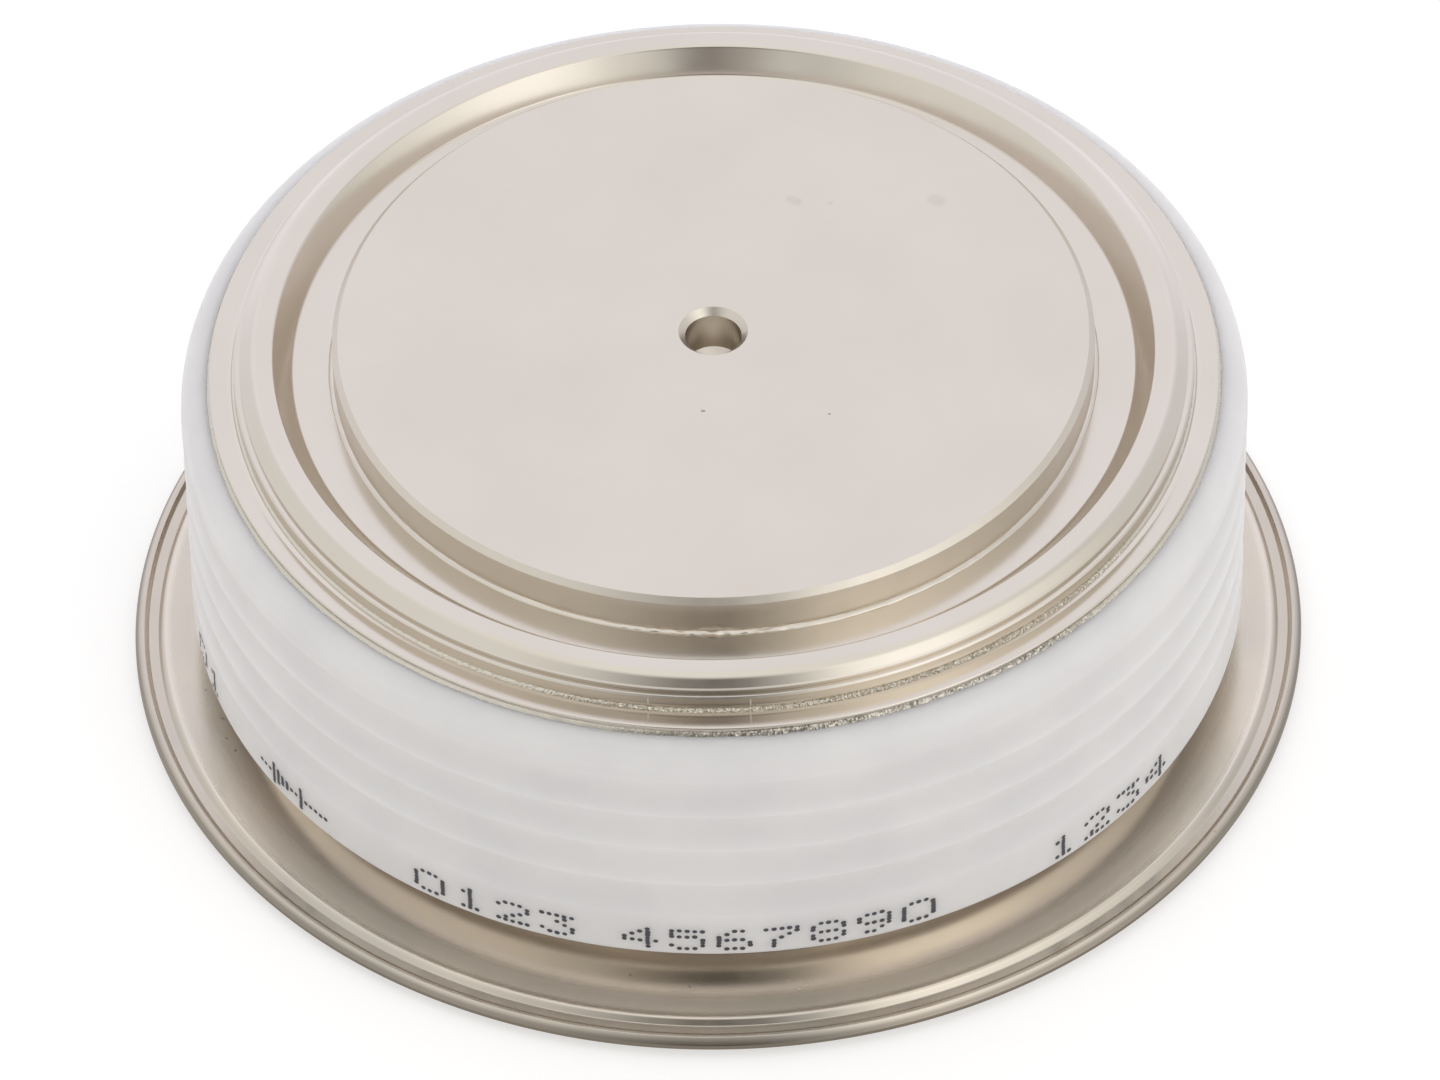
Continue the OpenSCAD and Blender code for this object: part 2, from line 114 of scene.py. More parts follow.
UPPER_POLE_FILLET = (
    (23.47, 22.90), (24.60, 22.90), (24.60, 23.00), (23.56, 23.00), (23.56, 23.36),
    (23.80, 23.36), (23.77, 23.42), (23.72, 23.465), (23.66, 23.50), (23.60, 23.53),
    (23.54, 23.555), (23.47, 23.57))
SEAL_RING_BEAD = (
    (28.20, 23.00), (28.20, 23.10), (29.60, 23.10), (29.61, 23.145), (29.67, 23.15),
    (29.73, 23.13), (29.78, 23.09), (29.82, 23.03), (29.84, 22.96), (29.84, 22.90),
    (29.64, 22.90), (29.60, 23.00))
CAP_RING_SOLDER = (
    (28.20, 22.50), (28.20, 22.60), (31.12, 22.60), (31.15, 22.68), (31.21, 22.675),
    (31.27, 22.63), (31.32, 22.57), (31.36, 22.51), (31.40, 22.45), (31.44, 22.40),
    (31.22, 22.40), (31.20, 22.50))

# Hollow fillet at the flange's neck in millimetres: its arc (middle, radius, degrees, steps), and
# the points behind it
NECK_FILLET_ARC = ((32.89, 2.60), 3.39, 180, 137.3, 14)
NECK_FILLET_BACK = ((30.40, 5.3), (28.9, 5.3), (28.9, 4.7), (29.3, 4.3), (29.3, 2.60))

# Free sides of the beads in millimetres: outside the radius and above the height, the fillet's
# inside the second radius
FILLET_FREE = (23.5, 23.79, 23.38)
BEAD_FREE = (29.63, 22.94)
SOLDER_FREE = (31.16, 22.42)

# Stretches of the beads in degrees round the axis, where -90 is the front: middle, reach, and the
# height above its own top at which a stretch would peak
FILLET_WAVY = (-88, 14, 1)
FILLET_LUMPY = (-94, 8, 2)
BEAD_ROUGH = (-84, 25, 2.2)
SOLDER_FRONT = (-85, 16, 1)
SOLDER_RIGHT = (-45, 32, 1)

# Dots of each digit, seven rows of five from the top down
DIGITS = {
    "0": "01110 10001 10001 10001 10001 10001 01110",
    "1": "00100 01100 00100 00100 00100 00100 01110",
    "2": "01110 10001 00001 00010 00100 01000 11111",
    "3": "11111 00010 00100 00010 00001 10001 01110",
    "4": "00010 00110 01010 10010 11111 00010 00010",
    "5": "11111 10000 11110 00001 00001 10001 01110",
    "6": "00110 01000 10000 11110 10001 10001 01110",
    "7": "11111 00001 00010 00100 01000 01000 01000",
    "8": "01110 10001 10001 01110 10001 10001 01110",
    "9": "01110 10001 10001 01111 00001 00010 01100",
}

# The sign for a diode: a triangle against a bar, on its two leads
DIODE_SIGN = (
    "000100000100000 000110000100000 000111100100000 111111111111111 "
    "000111100100000 000110000100000 000100000100000")

# What is printed, with the degrees round the axis where each run starts
SIGN_START = -149.0
DIGIT_RUNS = (("01", -168.5), ("0123", -124.5), ("4567890", -100.5), ("1234", -52.4))

# Ink dots in millimetres: how deep one starts in the glaze, its wall, its dome and the dome's
# bevel, and how far a jet scatters it
DOT_SINK = 0.010
DOT_WALL = 0.017
DOT_DOME = 0.007
DOT_BEVEL = 0.05
DOT_SCATTER = 0.02
DOT_SIZES = (0.92, 1.08)  # smallest and largest, against the size in the panel
SCATTER_SEED = 7
TOP_ROW = 6

# Studio seen from the object: (place round the compass from the back, colour)
TENT_ROUND = (
    (0, "#D5D5DC"), (0.0833, "#DAD9E0"), (0.1167, "#CECED5"), (0.1944, "#C9C9C8"),
    (0.2833, "#CBCBCA"), (0.3528, "#CECECD"), (0.3944, "#C3C3C1"), (0.4167, "#B6B6B4"),
    (0.4333, "#A7A7A6"), (0.45, "#8D8D8C"), (0.4722, "#6C6966"), (0.5, "#514E4D"),
    (0.5139, "#5A5856"), (0.5278, "#818180"), (0.5417, "#969695"), (0.5556, "#B3B3B2"),
    (0.5694, "#D3D3D1"), (0.5889, "#EBEBE9"), (0.6111, "#F9F9F7"), (0.6472, "#F7F7F5"),
    (0.6944, "#E0E0DE"), (0.7778, "#BFBFBD"), (0.8611, "#C3C3C9"), (0.9278, "#D9D8E0"),
    (1, "#D5D5DC"))
TENT_HEIGHT = (
    (0, "#A39F9A"), (0.14, "#A7A39E"), (0.225, "#CBCBCA"), (0.325, "#DAD9E0"), (0.5, "#C7C7CD"),
    (0.75, "#CFCFD6"), (0.85, "#D0D0D7"), (0.95, "#D5D5D3"), (1, "#D7D7D5"))

# Front of the tent below the lens, lit by the table: where it starts, is full, is full still and ends
APRON_ROUND = (0.42, 0.47, 0.53, 0.57)
APRON_HEIGHT = (0.36, 0.46, 0.57, 0.65)
APRON_BOOST = 1.8
TENT_FOOT = (-0.35, -0.1)  # heights between which the tent's wall takes over from its floor
TENT_TOP = (0.75, 0.97)  # and its roof from its wall
TENT_STRENGTH = 1.5

# Camera: millimetres from the upper face, degrees, sensor in millimetres, and the photo's frame
CAMERA_DISTANCE = 675
CAMERA_RISE = 43.825
CAMERA_TIP = 1.09375
CAMERA_SWING = 0.01684
CAMERA_ROLL = -0.98
SENSOR = 36
PIXELS_PER_MM = 16.24
FRAME_WIDTH = 1440

# Widths and heights of the finishes' patterns
TINT_DRIFT = 9 * MM
SHINE_CLOUD = 1.7 * MM
PLATE_GRIT = 0.15 * MM
GRIT_HEIGHT = 0.0007 * MM
SHEET_WAVE = 7.5 * MM
SPECK_SPACING = 2.6 * MM
SPECK_RADIUS = 0.08 * MM
GLAZE_CLOUD = 6 * MM
GLAZE_RIPPLE = 0.7 * MM
GLAZE_HEIGHT = 0.005 * MM
GLAZE_DEPTH = 3.0 * MM  # how far light travels in the alumina
PINHOLE_SPACING = 2.4 * MM
PINHOLE_RADIUS = 0.06 * MM
PLAIN_CLOUD = 3 * MM
INK_PATCH = 0.2 * MM
INK_HEIGHT = 0.004 * MM
PAPER_CLOUD = 40 * MM
PAPER_HEIGHT = 0.05 * MM

# Distances from the middle in millimetres: where the flange's film fades in and out, and where its
# rim turns brown, with how much
FILM_IN = (31.9, 33.5)
FILM_OUT = (34.5, 34.8)
RIM_TINTS = ((34.9, 35.2, 0.22), (36.5, 36.7, 0.55))

# Open part of the beads: the way that it faces, and the depth over which it fades
OPEN_WAY = (0.33, -0.944, 0.0)
OPEN_FADE = 3.5 * MM

# The middle part of a noise, which is spread over a whole tint or shine
TINT_LOW, TINT_HIGH = 0.35, 0.65
SHINE_LOW, SHINE_HIGH = 0.3, 0.7

# Colours that the panel doesn't offer
RIM_BROWN = "#5C5246"
MARK_DARK = "#6E6252"
# Colour of the painted highlights
PAINTED_HIGHLIGHT_COLOUR = "#F2EEE8"
PINHOLE = "#8C8780"
INK_THIN = "#4E4E54"
FLOOR_CLOUD = "#CCCBCA"
BACKDROP = "#D5D5D5"

# Paper under the part, in metres, and its own glow
PAPER_WIDTH = 6
PAPER_DROP = 0.02 * MM
PAPER_GLOW = 0.5

# Marks in millimetres, each from one point to another with its half width: spots and smudges of
# handling, and painted highlights
FACE_SPOTS = (
    ((-0.76, -7.06, 26), (-0.64, -7.05, 26), 0.11), ((6.98, -7.51, 26), (7.04, -7.5, 26), 0.09))
FACE_SMUDGES = (
    ((4.98, 11.70, 26), (5.40, 11.45, 26), 0.42), ((13.95, 11.45, 26), (14.15, 11.35, 26), 0.62),
    ((7.38, 11.28, 26), (7.46, 11.36, 26), 0.20))
FLANGE_DULL = (
    ((-31.77, -5.45, 1.6), (-31.7, -5.5, 1.6), 0.12), ((-32.26, -6.32, 1.6), (-32.2, -6.35, 1.6), 0.09),
    ((-31.14, -8.79, 1.6), (-31.05, -8.85, 1.6), 0.13),
    ((-30.28, -11.6, 1.6), (-30.2, -11.65, 1.6), 0.10),
    ((-30.86, -10.54, 1.6), (-30.8, -10.6, 1.6), 0.08),
    ((-1.67, -31.85, 1.6), (-1.5, -31.85, 1.6), 0.09), ((-2.16, -32.37, 1.6), (-2.1, -32.37, 1.6), 0.07),
    ((-5.76, -31.29, 1.6), (-5.7, -31.3, 1.6), 0.08),
    ((30.55, -19.9, 1.5), (30.65, -19.85, 1.5), 0.14))
# Painted highlights on the flange: small near-white strokes where glints of light are painted on
FLANGE_PAINTED_HIGHLIGHTS = (
    ((4.49, -32.69, 1.6), (4.60, -32.69, 1.6), 0.10), ((5.05, -32.21, 1.6), (5.10, -32.2, 1.6), 0.08),
    ((3.95, -31.93, 1.6), (4.00, -31.93, 1.6), 0.07))
# Painted highlights on the diaphragm's skirt and crown: near-white streaks down the slope where the
# shine of the light is painted on
SKIRT_PAINTED_HIGHLIGHTS = (
    ((-4.62, -28.22, 24.05), (-4.62, -28.22, 24.75), 0.05),
    ((5.42, -28.08, 24.10), (5.42, -28.08, 24.70), 0.05),
    ((-4.73, -28.92, 24.05), (-4.73, -28.92, 24.35), 0.04),
    ((6.88, -26.21, 24.9), (6.95, -26.2, 24.9), 0.09))
# Painted highlights on the seal ring's wall: near-white streaks where the shine of the light is painted
# on
WALL_PAINTED_HIGHLIGHTS = (
    ((-4.28, -29.34, 23.35), (-4.28, -29.34, 23.75), 0.05),
    ((1.86, -29.59, 23.30), (1.86, -29.59, 23.80), 0.05))


def linear(code):
    """An sRGB hex colour as linear red, green and blue."""
    parts = [int(code[i:i + 2], 16) / 255 for i in (1, 3, 5)]
    return [p / 12.92 if p <= 0.04045 else ((p + 0.055) / 1.055) ** 2.4 for p in parts]


def rgba(colour):
    """A colour of three numbers with full opacity added."""
    return (*colour, 1.0)


class DiodeSizes(bpy.types.PropertyGroup):
    """Sizes of the pieces that are shaped here."""

    spin_steps: bpy.props.IntProperty(
        name="Spin steps", description="Steps in which each outline is turned round the axis",
        default=360, min=90, max=720)
    fillet_wave: bpy.props.FloatProperty(
        name="Fillet wave", description="Height of the waves in the braze fillet round each pole",
        default=0.13 * MM, unit="LENGTH", precision=6)
    fillet_wave_length: bpy.props.FloatProperty(
        name="Fillet wave length", description="Distance between the waves in the braze fillet",
        default=1.3 * MM, unit="LENGTH", precision=6)
    bead_lump: bpy.props.FloatProperty(
        name="Bead lump", description="Height of the lumps on the braze beads",
        default=0.07 * MM, unit="LENGTH", precision=6)
    grain: bpy.props.FloatProperty(
        name="Braze grain", description="Size of the crystals on the rough braze beads",
        default=0.13 * MM, unit="LENGTH", precision=6)
    dot_width: bpy.props.FloatProperty(
        name="Dot width", description="Width of one ink dot",
        default=0.34 * MM, unit="LENGTH", precision=6)
    dot_height: bpy.props.FloatProperty(
        name="Dot height", description="Height of one ink dot on the wall",
        default=0.30 * MM, unit="LENGTH", precision=6)
    column_pitch: bpy.props.FloatProperty(
        name="Column pitch", description="Distance between the columns of ink dots",
        default=0.476 * MM, unit="LENGTH", precision=6)
    row_pitch: bpy.props.FloatProperty(
        name="Row pitch", description="Distance between the rows of ink dots",
        default=0.252 * MM, unit="LENGTH", precision=6)
    digit_pitch: bpy.props.FloatProperty(
        name="Digit pitch", description="Distance between digits",
        default=2.88 * MM, unit="LENGTH", precision=6)
    mark_foot: bpy.props.FloatProperty(
        name="Mark foot", description="Height of the lowest row of ink dots",
        default=5.65 * MM, unit="LENGTH", precision=6)
    camera_distance: bpy.props.FloatProperty(
        name="Camera distance", description="From the camera to the middle of the upper face",
        default=CAMERA_DISTANCE * MM, unit="LENGTH")


class DiodeColours(bpy.types.PropertyGroup):
    """Colours of the finishes."""

    nickel: bpy.props.FloatVectorProperty(
        name="Nickel", description="Satin nickel plate", subtype="COLOR", default=linear("#DCD4C9"))
    nickel_dull: bpy.props.FloatVectorProperty(
        name="Nickel, dull", description="Nickel plate of the flange under its pale film",
        subtype="COLOR", default=linear("#E4DACC"))
    nickel_stain: bpy.props.FloatVectorProperty(
        name="Nickel stain", description="Nickel plate where heat has tinted it",
        subtype="COLOR", default=linear("#D9D1C5"))
    braze: bpy.props.FloatVectorProperty(
        name="Braze", description="Crystals of the braze", subtype="COLOR", default=linear("#D8D2C6"))
    braze_dark: bpy.props.FloatVectorProperty(
        name="Braze, dark", description="Dull crystals of the braze",
        subtype="COLOR", default=linear("#B3AA9A"))
    solder_dark: bpy.props.FloatVectorProperty(
        name="Solder, dark", description="Dull crystals of the solder on the ceramic",
        subtype="COLOR", default=linear("#77706A"))
    ceramic: bpy.props.FloatVectorProperty(
        name="Ceramic", description="Glazed alumina", subtype="COLOR", default=linear("#E2E0DF"))
    ceramic_cloud: bpy.props.FloatVectorProperty(
        name="Ceramic cloud", description="Glaze where it lies thicker",
        subtype="COLOR", default=linear("#DDDBDB"))
    ink: bpy.props.FloatVectorProperty(
        name="Ink", description="Printing ink", subtype="COLOR", default=linear("#3A3A40"))
    floor: bpy.props.FloatVectorProperty(
        name="Floor", description="Pale floor", subtype="COLOR", default=linear("#CECDCC"))


def sizes():
    """The sizes set in the panel."""
    return bpy.context.scene.diode_sizes


def colours():
    """The colours set in the panel."""
    return bpy.context.scene.diode_colours


def add_node(tree, kind, inputs=None, **settings):
    """Adds a node, sets its properties, and sets or links each input that is given."""
    node = tree.nodes.new(kind)
    for key, value in settings.items():
        setattr(node, key, value)
    for key, value in (inputs or {}).items():
        if isinstance(value, bpy.types.NodeSocket):
            tree.links.new(value, node.inputs[key])
        else:
            node.inputs[key].default_value = value
    return node


def new_material(name):
    """A material with a surface shader, its tree, and the object coordinates."""
    material = bpy.data.materials.new(name)
    material.use_nodes = True
    tree = material.node_tree
    shader = tree.nodes["Principled BSDF"]
    place = add_node(tree, "ShaderNodeTexCoord").outputs["Object"]
    return material, tree, shader, place


def dress(tree, shader, colour, rough, height, depth, strength=1.0):
    """Links a finish's colour, roughness and relief to its shader; depth is in metres."""
    bump = add_node(tree, "ShaderNodeBump", {"Height": height, "Strength": strength, "Distance": depth})
    for value, socket in ((colour, "Base Color"), (rough, "Roughness"), (bump.outputs[0], "Normal")):
        tree.links.new(value, shader.inputs[socket])


def strokes(tree, place, marks):
    """1 along each mark, 0 away from it; a mark runs from one point to another, in millimetres."""
    held = None
    for start, end, half in marks:
        a, b = Vector(start) * MM, Vector(end) * MM
        along = b - a
        away = add_node(tree, "ShaderNodeVectorMath", {0: place, 1: a}, operation="SUBTRACT").outputs[0]
        share = add_node(tree, "ShaderNodeVectorMath", {0: away, 1: along / along.length_squared},
                         operation="DOT_PRODUCT").outputs["Value"]
        share = add_node(tree, "ShaderNodeMath", {0: share, 1: 0.0}, operation="ADD",
                         use_clamp=True).outputs[0]
        near = add_node(tree, "ShaderNodeVectorMath", {0: along, "Scale": share},
                        operation="SCALE").outputs[0]
        gap = add_node(tree, "ShaderNodeVectorMath", {0: away, 1: near},
                       operation="DISTANCE").outputs["Value"]
        inside = add_node(tree, "ShaderNodeMapRange",
                          {0: gap, 1: 0.5 * half * MM, 2: half * MM, 3: 1.0, 4: 0.0}).outputs[0]
        if held is None:
            held = inside
        else:
            held = add_node(tree, "ShaderNodeMath", {0: held, 1: inside}, operation="MAXIMUM").outputs[0]
    return held


def specks(tree, place, spacing, radius, share):
    """1 inside small round specks, 0 outside; share of the cells that hold one."""
    cells = add_node(tree, "ShaderNodeTexVoronoi", {"Vector": place, "Scale": 1 / spacing})
    near = add_node(tree, "ShaderNodeMapRange",
                    {0: cells.outputs["Distance"], 1: 0.6 * radius / spacing, 2: radius / spacing,
                     3: 1.0, 4: 0.0}).outputs[0]
    lot = add_node(tree, "ShaderNodeSeparateColor", {0: cells.outputs["Color"]}).outputs[0]
    held = add_node(tree, "ShaderNodeMath", {0: lot, 1: share}, operation="LESS_THAN").outputs[0]
    return add_node(tree, "ShaderNodeMath", {0: near, 1: held}, operation="MULTIPLY").outputs[0]


def nickel_plate(name, roughness, wave, dull=(), painted_highlights=(), speck_share=0.0, film=0.0, smudges=()):
    """Satin nickel plate on machined or formed metal.

    The plate is warm and soft in its shine. Its tint drifts a little over some millimetres, the
    formed sheets have long shallow waves, and marks of handling show as dull strokes or as faint
    smudges. Painted highlights show as near-white, rougher strokes where a glint of light is painted
    on. The grit is drawn at 0.15 mm, coarser than the real bath leaves it, so that it shows. A film
    from the furnace, where there is one, scatters part of the light, so that the sheet stays pale in
    the shade.
    """
    material, tree, shader, place = new_material(name)
    drift = add_node(tree, "ShaderNodeTexNoise",
                     {"Vector": place, "Scale": 1 / TINT_DRIFT, "Detail": 3.0}).outputs[0]
    cloud = add_node(tree, "ShaderNodeTexNoise",
                     {"Vector": place, "Scale": 1 / SHINE_CLOUD, "Detail": 3.0}).outputs[0]
    grit = add_node(tree, "ShaderNodeTexNoise",
                    {"Vector": place, "Scale": 1 / PLATE_GRIT, "Detail": 2.0}).outputs[0]
    stain = add_node(tree, "ShaderNodeMapRange",
                     {0: drift, 1: TINT_LOW, 2: TINT_HIGH, 3: 0.0, 4: 1.0}).outputs[0]
    colour = add_node(tree, "ShaderNodeMix",
                      {0: stain, 6: rgba(colours().nickel_dull if film else colours().nickel),
                       7: rgba(colours().nickel_stain)},
                      data_type="RGBA").outputs[2]
    rough = add_node(tree, "ShaderNodeMapRange",
                     {0: cloud, 1: SHINE_LOW, 2: SHINE_HIGH,
                      3: roughness * 0.9, 4: roughness * 1.1}).outputs[0]
    if speck_share:
        dots = specks(tree, place, SPECK_SPACING, SPECK_RADIUS, speck_share)
        colour = add_node(tree, "ShaderNodeMix", {
            0: add_node(tree, "ShaderNodeMath", {0: dots, 1: 0.55}, operation="MULTIPLY").outputs[0],
            6: colour, 7: rgba(linear(RIM_BROWN))}, data_type="RGBA").outputs[2]
    # Dull strokes and smudges are marks of handling; the bright strokes are painted highlights,
    # near-white and rougher
    for marks, code, share, rougher in ((dull, MARK_DARK, 0.55, 0.25), (painted_highlights, PAINTED_HIGHLIGHT_COLOUR, 0.9, 0.45),
                                        (smudges, MARK_DARK, 0.09, 0.03)):
        if marks:
            held = strokes(tree, place, marks)
            factor = add_node(tree, "ShaderNodeMath", {0: held, 1: share},
                              operation="MULTIPLY").outputs[0]
            colour = add_node(tree, "ShaderNodeMix", {0: factor, 6: colour, 7: rgba(linear(code))},
                              data_type="RGBA").outputs[2]
            rough = add_node(tree, "ShaderNodeMath", {0: held, 1: rougher, 2: rough},
                             operation="MULTIPLY_ADD").outputs[0]
    shader.inputs["Metallic"].default_value = 1.0
    if film:
        reach = add_node(tree, "ShaderNodeVectorMath", {0: place}, operation="LENGTH").outputs[1]
        inner = add_node(tree, "ShaderNodeMapRange",
                         {0: reach, 1: FILM_IN[0] * MM, 2: FILM_IN[1] * MM, 3: 0.0, 4: -film}).outputs[0]
        outer = add_node(tree, "ShaderNodeMapRange",
                         {0: reach, 1: FILM_OUT[0] * MM, 2: FILM_OUT[1] * MM, 3: 1.0, 4: 0.0}).outputs[0]
        metal = add_node(tree, "ShaderNodeMath", {0: inner, 1: outer, 2: 1.0},
                         operation="MULTIPLY_ADD").outputs[0]
        tree.links.new(metal, shader.inputs["Metallic"])
        # The colour turns a little browner beyond the step, and much browner at the outer edge
        for start, full, share in RIM_TINTS:
            edge = add_node(tree, "ShaderNodeMapRange",
                            {0: reach, 1: start * MM, 2: full * MM, 3: 0.0, 4: share}).outputs[0]
            colour = add_node(tree, "ShaderNodeMix", {0: edge, 6: colour, 7: rgba(linear(RIM_BROWN))},
                              data_type="RGBA").outputs[2]
    waves = add_node(tree, "ShaderNodeTexNoise",
                     {"Vector": place, "Scale": 1 / SHEET_WAVE, "Detail": 1.0}).outputs[0]
    height = add_node(tree, "ShaderNodeMath", {0: grit, 1: GRIT_HEIGHT}, operation="MULTIPLY").outputs[0]
    height = add_node(tree, "ShaderNodeMath", {0: waves, 1: wave, 2: height},
                      operation="MULTIPLY_ADD").outputs[0]
    dress(tree, shader, colour, rough, height, 1.0)
    return material


def braze_metal(name, roughness, grain, depth, dark, reach):
    """Braze as it froze: crystals of a tenth of a millimetre that glint one by one.

    They show along the front, where the bead stands open as far out as reach. The rest is smooth.
    """
    material, tree, shader, place = new_material(name)
    crystals = add_node(tree, "ShaderNodeTexVoronoi", {"Vector": place, "Scale": 1 / grain})
    tint = add_node(tree, "ShaderNodeSeparateColor", {0: crystals.outputs["Color"]}).outputs[1]
    ahead = add_node(tree, "ShaderNodeVectorMath", {0: place, 1: OPEN_WAY},
                     operation="DOT_PRODUCT").outputs[1]
    open_part = add_node(tree, "ShaderNodeMapRange",
                         {0: ahead, 1: reach - OPEN_FADE, 2: reach, 3: 0.0, 4: 1.0}).outputs[0]
    share = add_node(tree, "ShaderNodeMath", {0: tint, 1: open_part}, operation="MULTIPLY").outputs[0]
    colour = add_node(tree, "ShaderNodeMix",
                      {0: share, 6: rgba(colours().braze), 7: rgba(dark)},
                      data_type="RGBA").outputs[2]
    shader.inputs["Metallic"].default_value = 1.0
    rough = add_node(tree, "ShaderNodeMapRange",
                     {0: tint, 1: 0.0, 2: 1.0, 3: roughness * 0.7, 4: roughness * 1.3}).outputs[0]
    dress(tree, shader, colour, rough, crystals.outputs["Distance"], depth, open_part)
    return material


def glazed_alumina():
    """Alumina under a thin white glaze: soft shine, faint clouds and a few pinholes."""
    material, tree, shader, place = new_material("alumina_glazed_white")
    cloud = add_node(tree, "ShaderNodeTexNoise",
                     {"Vector": place, "Scale": 1 / GLAZE_CLOUD, "Detail": 3.0}).outputs[0]
    fine = add_node(tree, "ShaderNodeTexNoise",
                    {"Vector": place, "Scale": 1 / GLAZE_RIPPLE, "Detail": 3.0}).outputs[0]
    thick = add_node(tree, "ShaderNodeMapRange",
                     {0: cloud, 1: TINT_LOW, 2: TINT_HIGH, 3: 0.0, 4: 1.0}).outputs[0]
    colour = add_node(tree, "ShaderNodeMix",
                      {0: thick, 6: rgba(colours().ceramic), 7: rgba(colours().ceramic_cloud)},
                      data_type="RGBA").outputs[2]
    pin = specks(tree, place, PINHOLE_SPACING, PINHOLE_RADIUS, 0.06)
    pin = add_node(tree, "ShaderNodeMath", {0: pin, 1: 0.3}, operation="MULTIPLY").outputs[0]
    colour = add_node(tree, "ShaderNodeMix", {0: pin, 6: colour, 7: rgba(linear(PINHOLE))},
                      data_type="RGBA").outputs[2]
    rough = add_node(tree, "ShaderNodeMapRange",
                     {0: fine, 1: SHINE_LOW, 2: SHINE_HIGH, 3: 0.31, 4: 0.39}).outputs[0]
    shader.inputs["IOR"].default_value = 1.55
    shader.inputs["Subsurface Weight"].default_value = 1.0
    shader.inputs["Subsurface Radius"].default_value = (1.0, 0.97, 0.94)
    shader.inputs["Subsurface Scale"].default_value = GLAZE_DEPTH
    height = add_node(tree, "ShaderNodeMath", {0: cloud, 1: 2.0, 2: fine},
                      operation="MULTIPLY_ADD").outputs[0]
    dress(tree, shader, colour, rough, height, GLAZE_HEIGHT)
    return material


def plain_finish(name, code, other_code, metallic, roughness, grain, depth):
    """A plain finish: two close colours, uneven shine and a fine surface."""
    material, tree, shader, place = new_material(name)
    cloud = add_node(tree, "ShaderNodeTexNoise",
                     {"Vector": place, "Scale": 1 / PLAIN_CLOUD, "Detail": 3.0}).outputs[0]
    fine = add_node(tree, "ShaderNodeTexNoise",
                    {"Vector": place, "Scale": 1 / grain, "Detail": 2.0}).outputs[0]
    share = add_node(tree, "ShaderNodeMapRange",
                     {0: cloud, 1: TINT_LOW, 2: TINT_HIGH, 3: 0.0, 4: 1.0}).outputs[0]
    colour = add_node(tree, "ShaderNodeMix",
                      {0: share, 6: rgba(linear(code)), 7: rgba(linear(other_code))},
                      data_type="RGBA").outputs[2]
    shader.inputs["Metallic"].default_value = metallic
    rough = add_node(tree, "ShaderNodeMapRange",
                     {0: fine, 1: SHINE_LOW, 2: SHINE_HIGH,
                      3: roughness * 0.85, 4: roughness * 1.15}).outputs[0]
    dress(tree, shader, colour, rough, fine, depth)
    return material


def finish(piece, material):
    """Gives a piece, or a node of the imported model, one material."""
    piece.data.materials.clear()
    piece.data.materials.append(material)


def arc(middle, radius, start, end, steps):
    """Points on an arc in the section plane; angles in degrees."""
    turns = [math.radians(start + (end - start) * i / steps) for i in range(steps + 1)]
    return [Vector((middle[0] + radius * math.cos(a), middle[1] + radius * math.sin(a))) for a in turns]


def rounded(corners):
    """An outline with an arc at each corner that has a radius, and a point close before and after it.

    The two extra points keep the flat stretches flat in the shading.
    """
    spots = [Vector(corner[:2]) for corner in corners]
    count = len(spots)
    bends, reaches = [], []
    for i, corner in enumerate(corners):
        back, ahead = spots[i - 1] - spots[i], spots[(i + 1) % count] - spots[i]
        bends.append(math.pi - back.angle(ahead))
        reaches.append(corner[2] * math.tan(bends[-1] / 2))
    points = []
    for i, corner in enumerate(corners):
        back, ahead = spots[i - 1] - spots[i], spots[(i + 1) % count] - spots[i]
        if not corner[2]:
            points.append(spots[i])
            continue
        side = 1 if back.x * ahead.y - back.y * ahead.x < 0 else -1
        start = spots[i] + back.normalized() * reaches[i]
        to_middle = (back.normalized() + ahead.normalized()).normalized()
        middle = spots[i] + to_middle * corner[2] / math.cos(bends[i] / 2)
        first = math.degrees(math.atan2(start.y - middle.y, start.x - middle.x))
        steps = max(2, math.ceil(math.degrees(bends[i]) / ARC_STEP))
        curve = arc(middle, corner[2], first, first + side * math.degrees(bends[i]), steps)
        if back.length - reaches[i] - reaches[i - 1] > FLAT_LENGTH:
            points.append(curve[0] + back.normalized() * FLAT_HOLD)
        points.extend(curve)
        if ahead.length - reaches[i] - reaches[(i + 1) % count] > FLAT_LENGTH:
            points.append(curve[-1] + ahead.normalized() * FLAT_HOLD)
    return points


def ceramic_outline():
    """The ceramic ring: rounded shoulder, four shallow grooves between rounded crests, plain band."""
    points = [Vector((27.5, 22.5)), Vector((31.2, 22.5))]
    points += arc((31.3, 20.8), 1.7, 90, 0, 14)
    inner, crest_radius = CREST_ARC
    outer, groove_radius = GROOVE_ARC
    half = CREST_HALF_TURN
    for i in range(LAST_CREST):
        crest = TOP_CREST - i * CREST_PITCH
        if i:
            points += arc((inner, crest), crest_radius, half, -half, 6)
        else:
            points += [Vector((WALL, 20.16))] + arc((inner, crest), crest_radius, 0, -half, 3)
        points += arc((outer, crest - CREST_PITCH / 2), groove_radius, 180 - half, 180 + half, 12)[1:-1]
    points += arc((inner, TOP_CREST - LAST_CREST * CREST_PITCH), crest_radius, half, 0, 3)
    points += [Vector((WALL, 8.28)), Vector((WALL, 5.46))] + arc((32.5, 5.4), 0.5, 0, -90, 10)
    points += [Vector(p) for p in ((32.4, 4.9), (27.5, 4.9), (27.2, 5.2), (27.2, 22.2))]
    return points


def mirrored(outline):
    """An outline turned over, from the upper pole's place to the lower pole's."""
    return [(r, POLE_MIRROR - z) for r, z in outline]


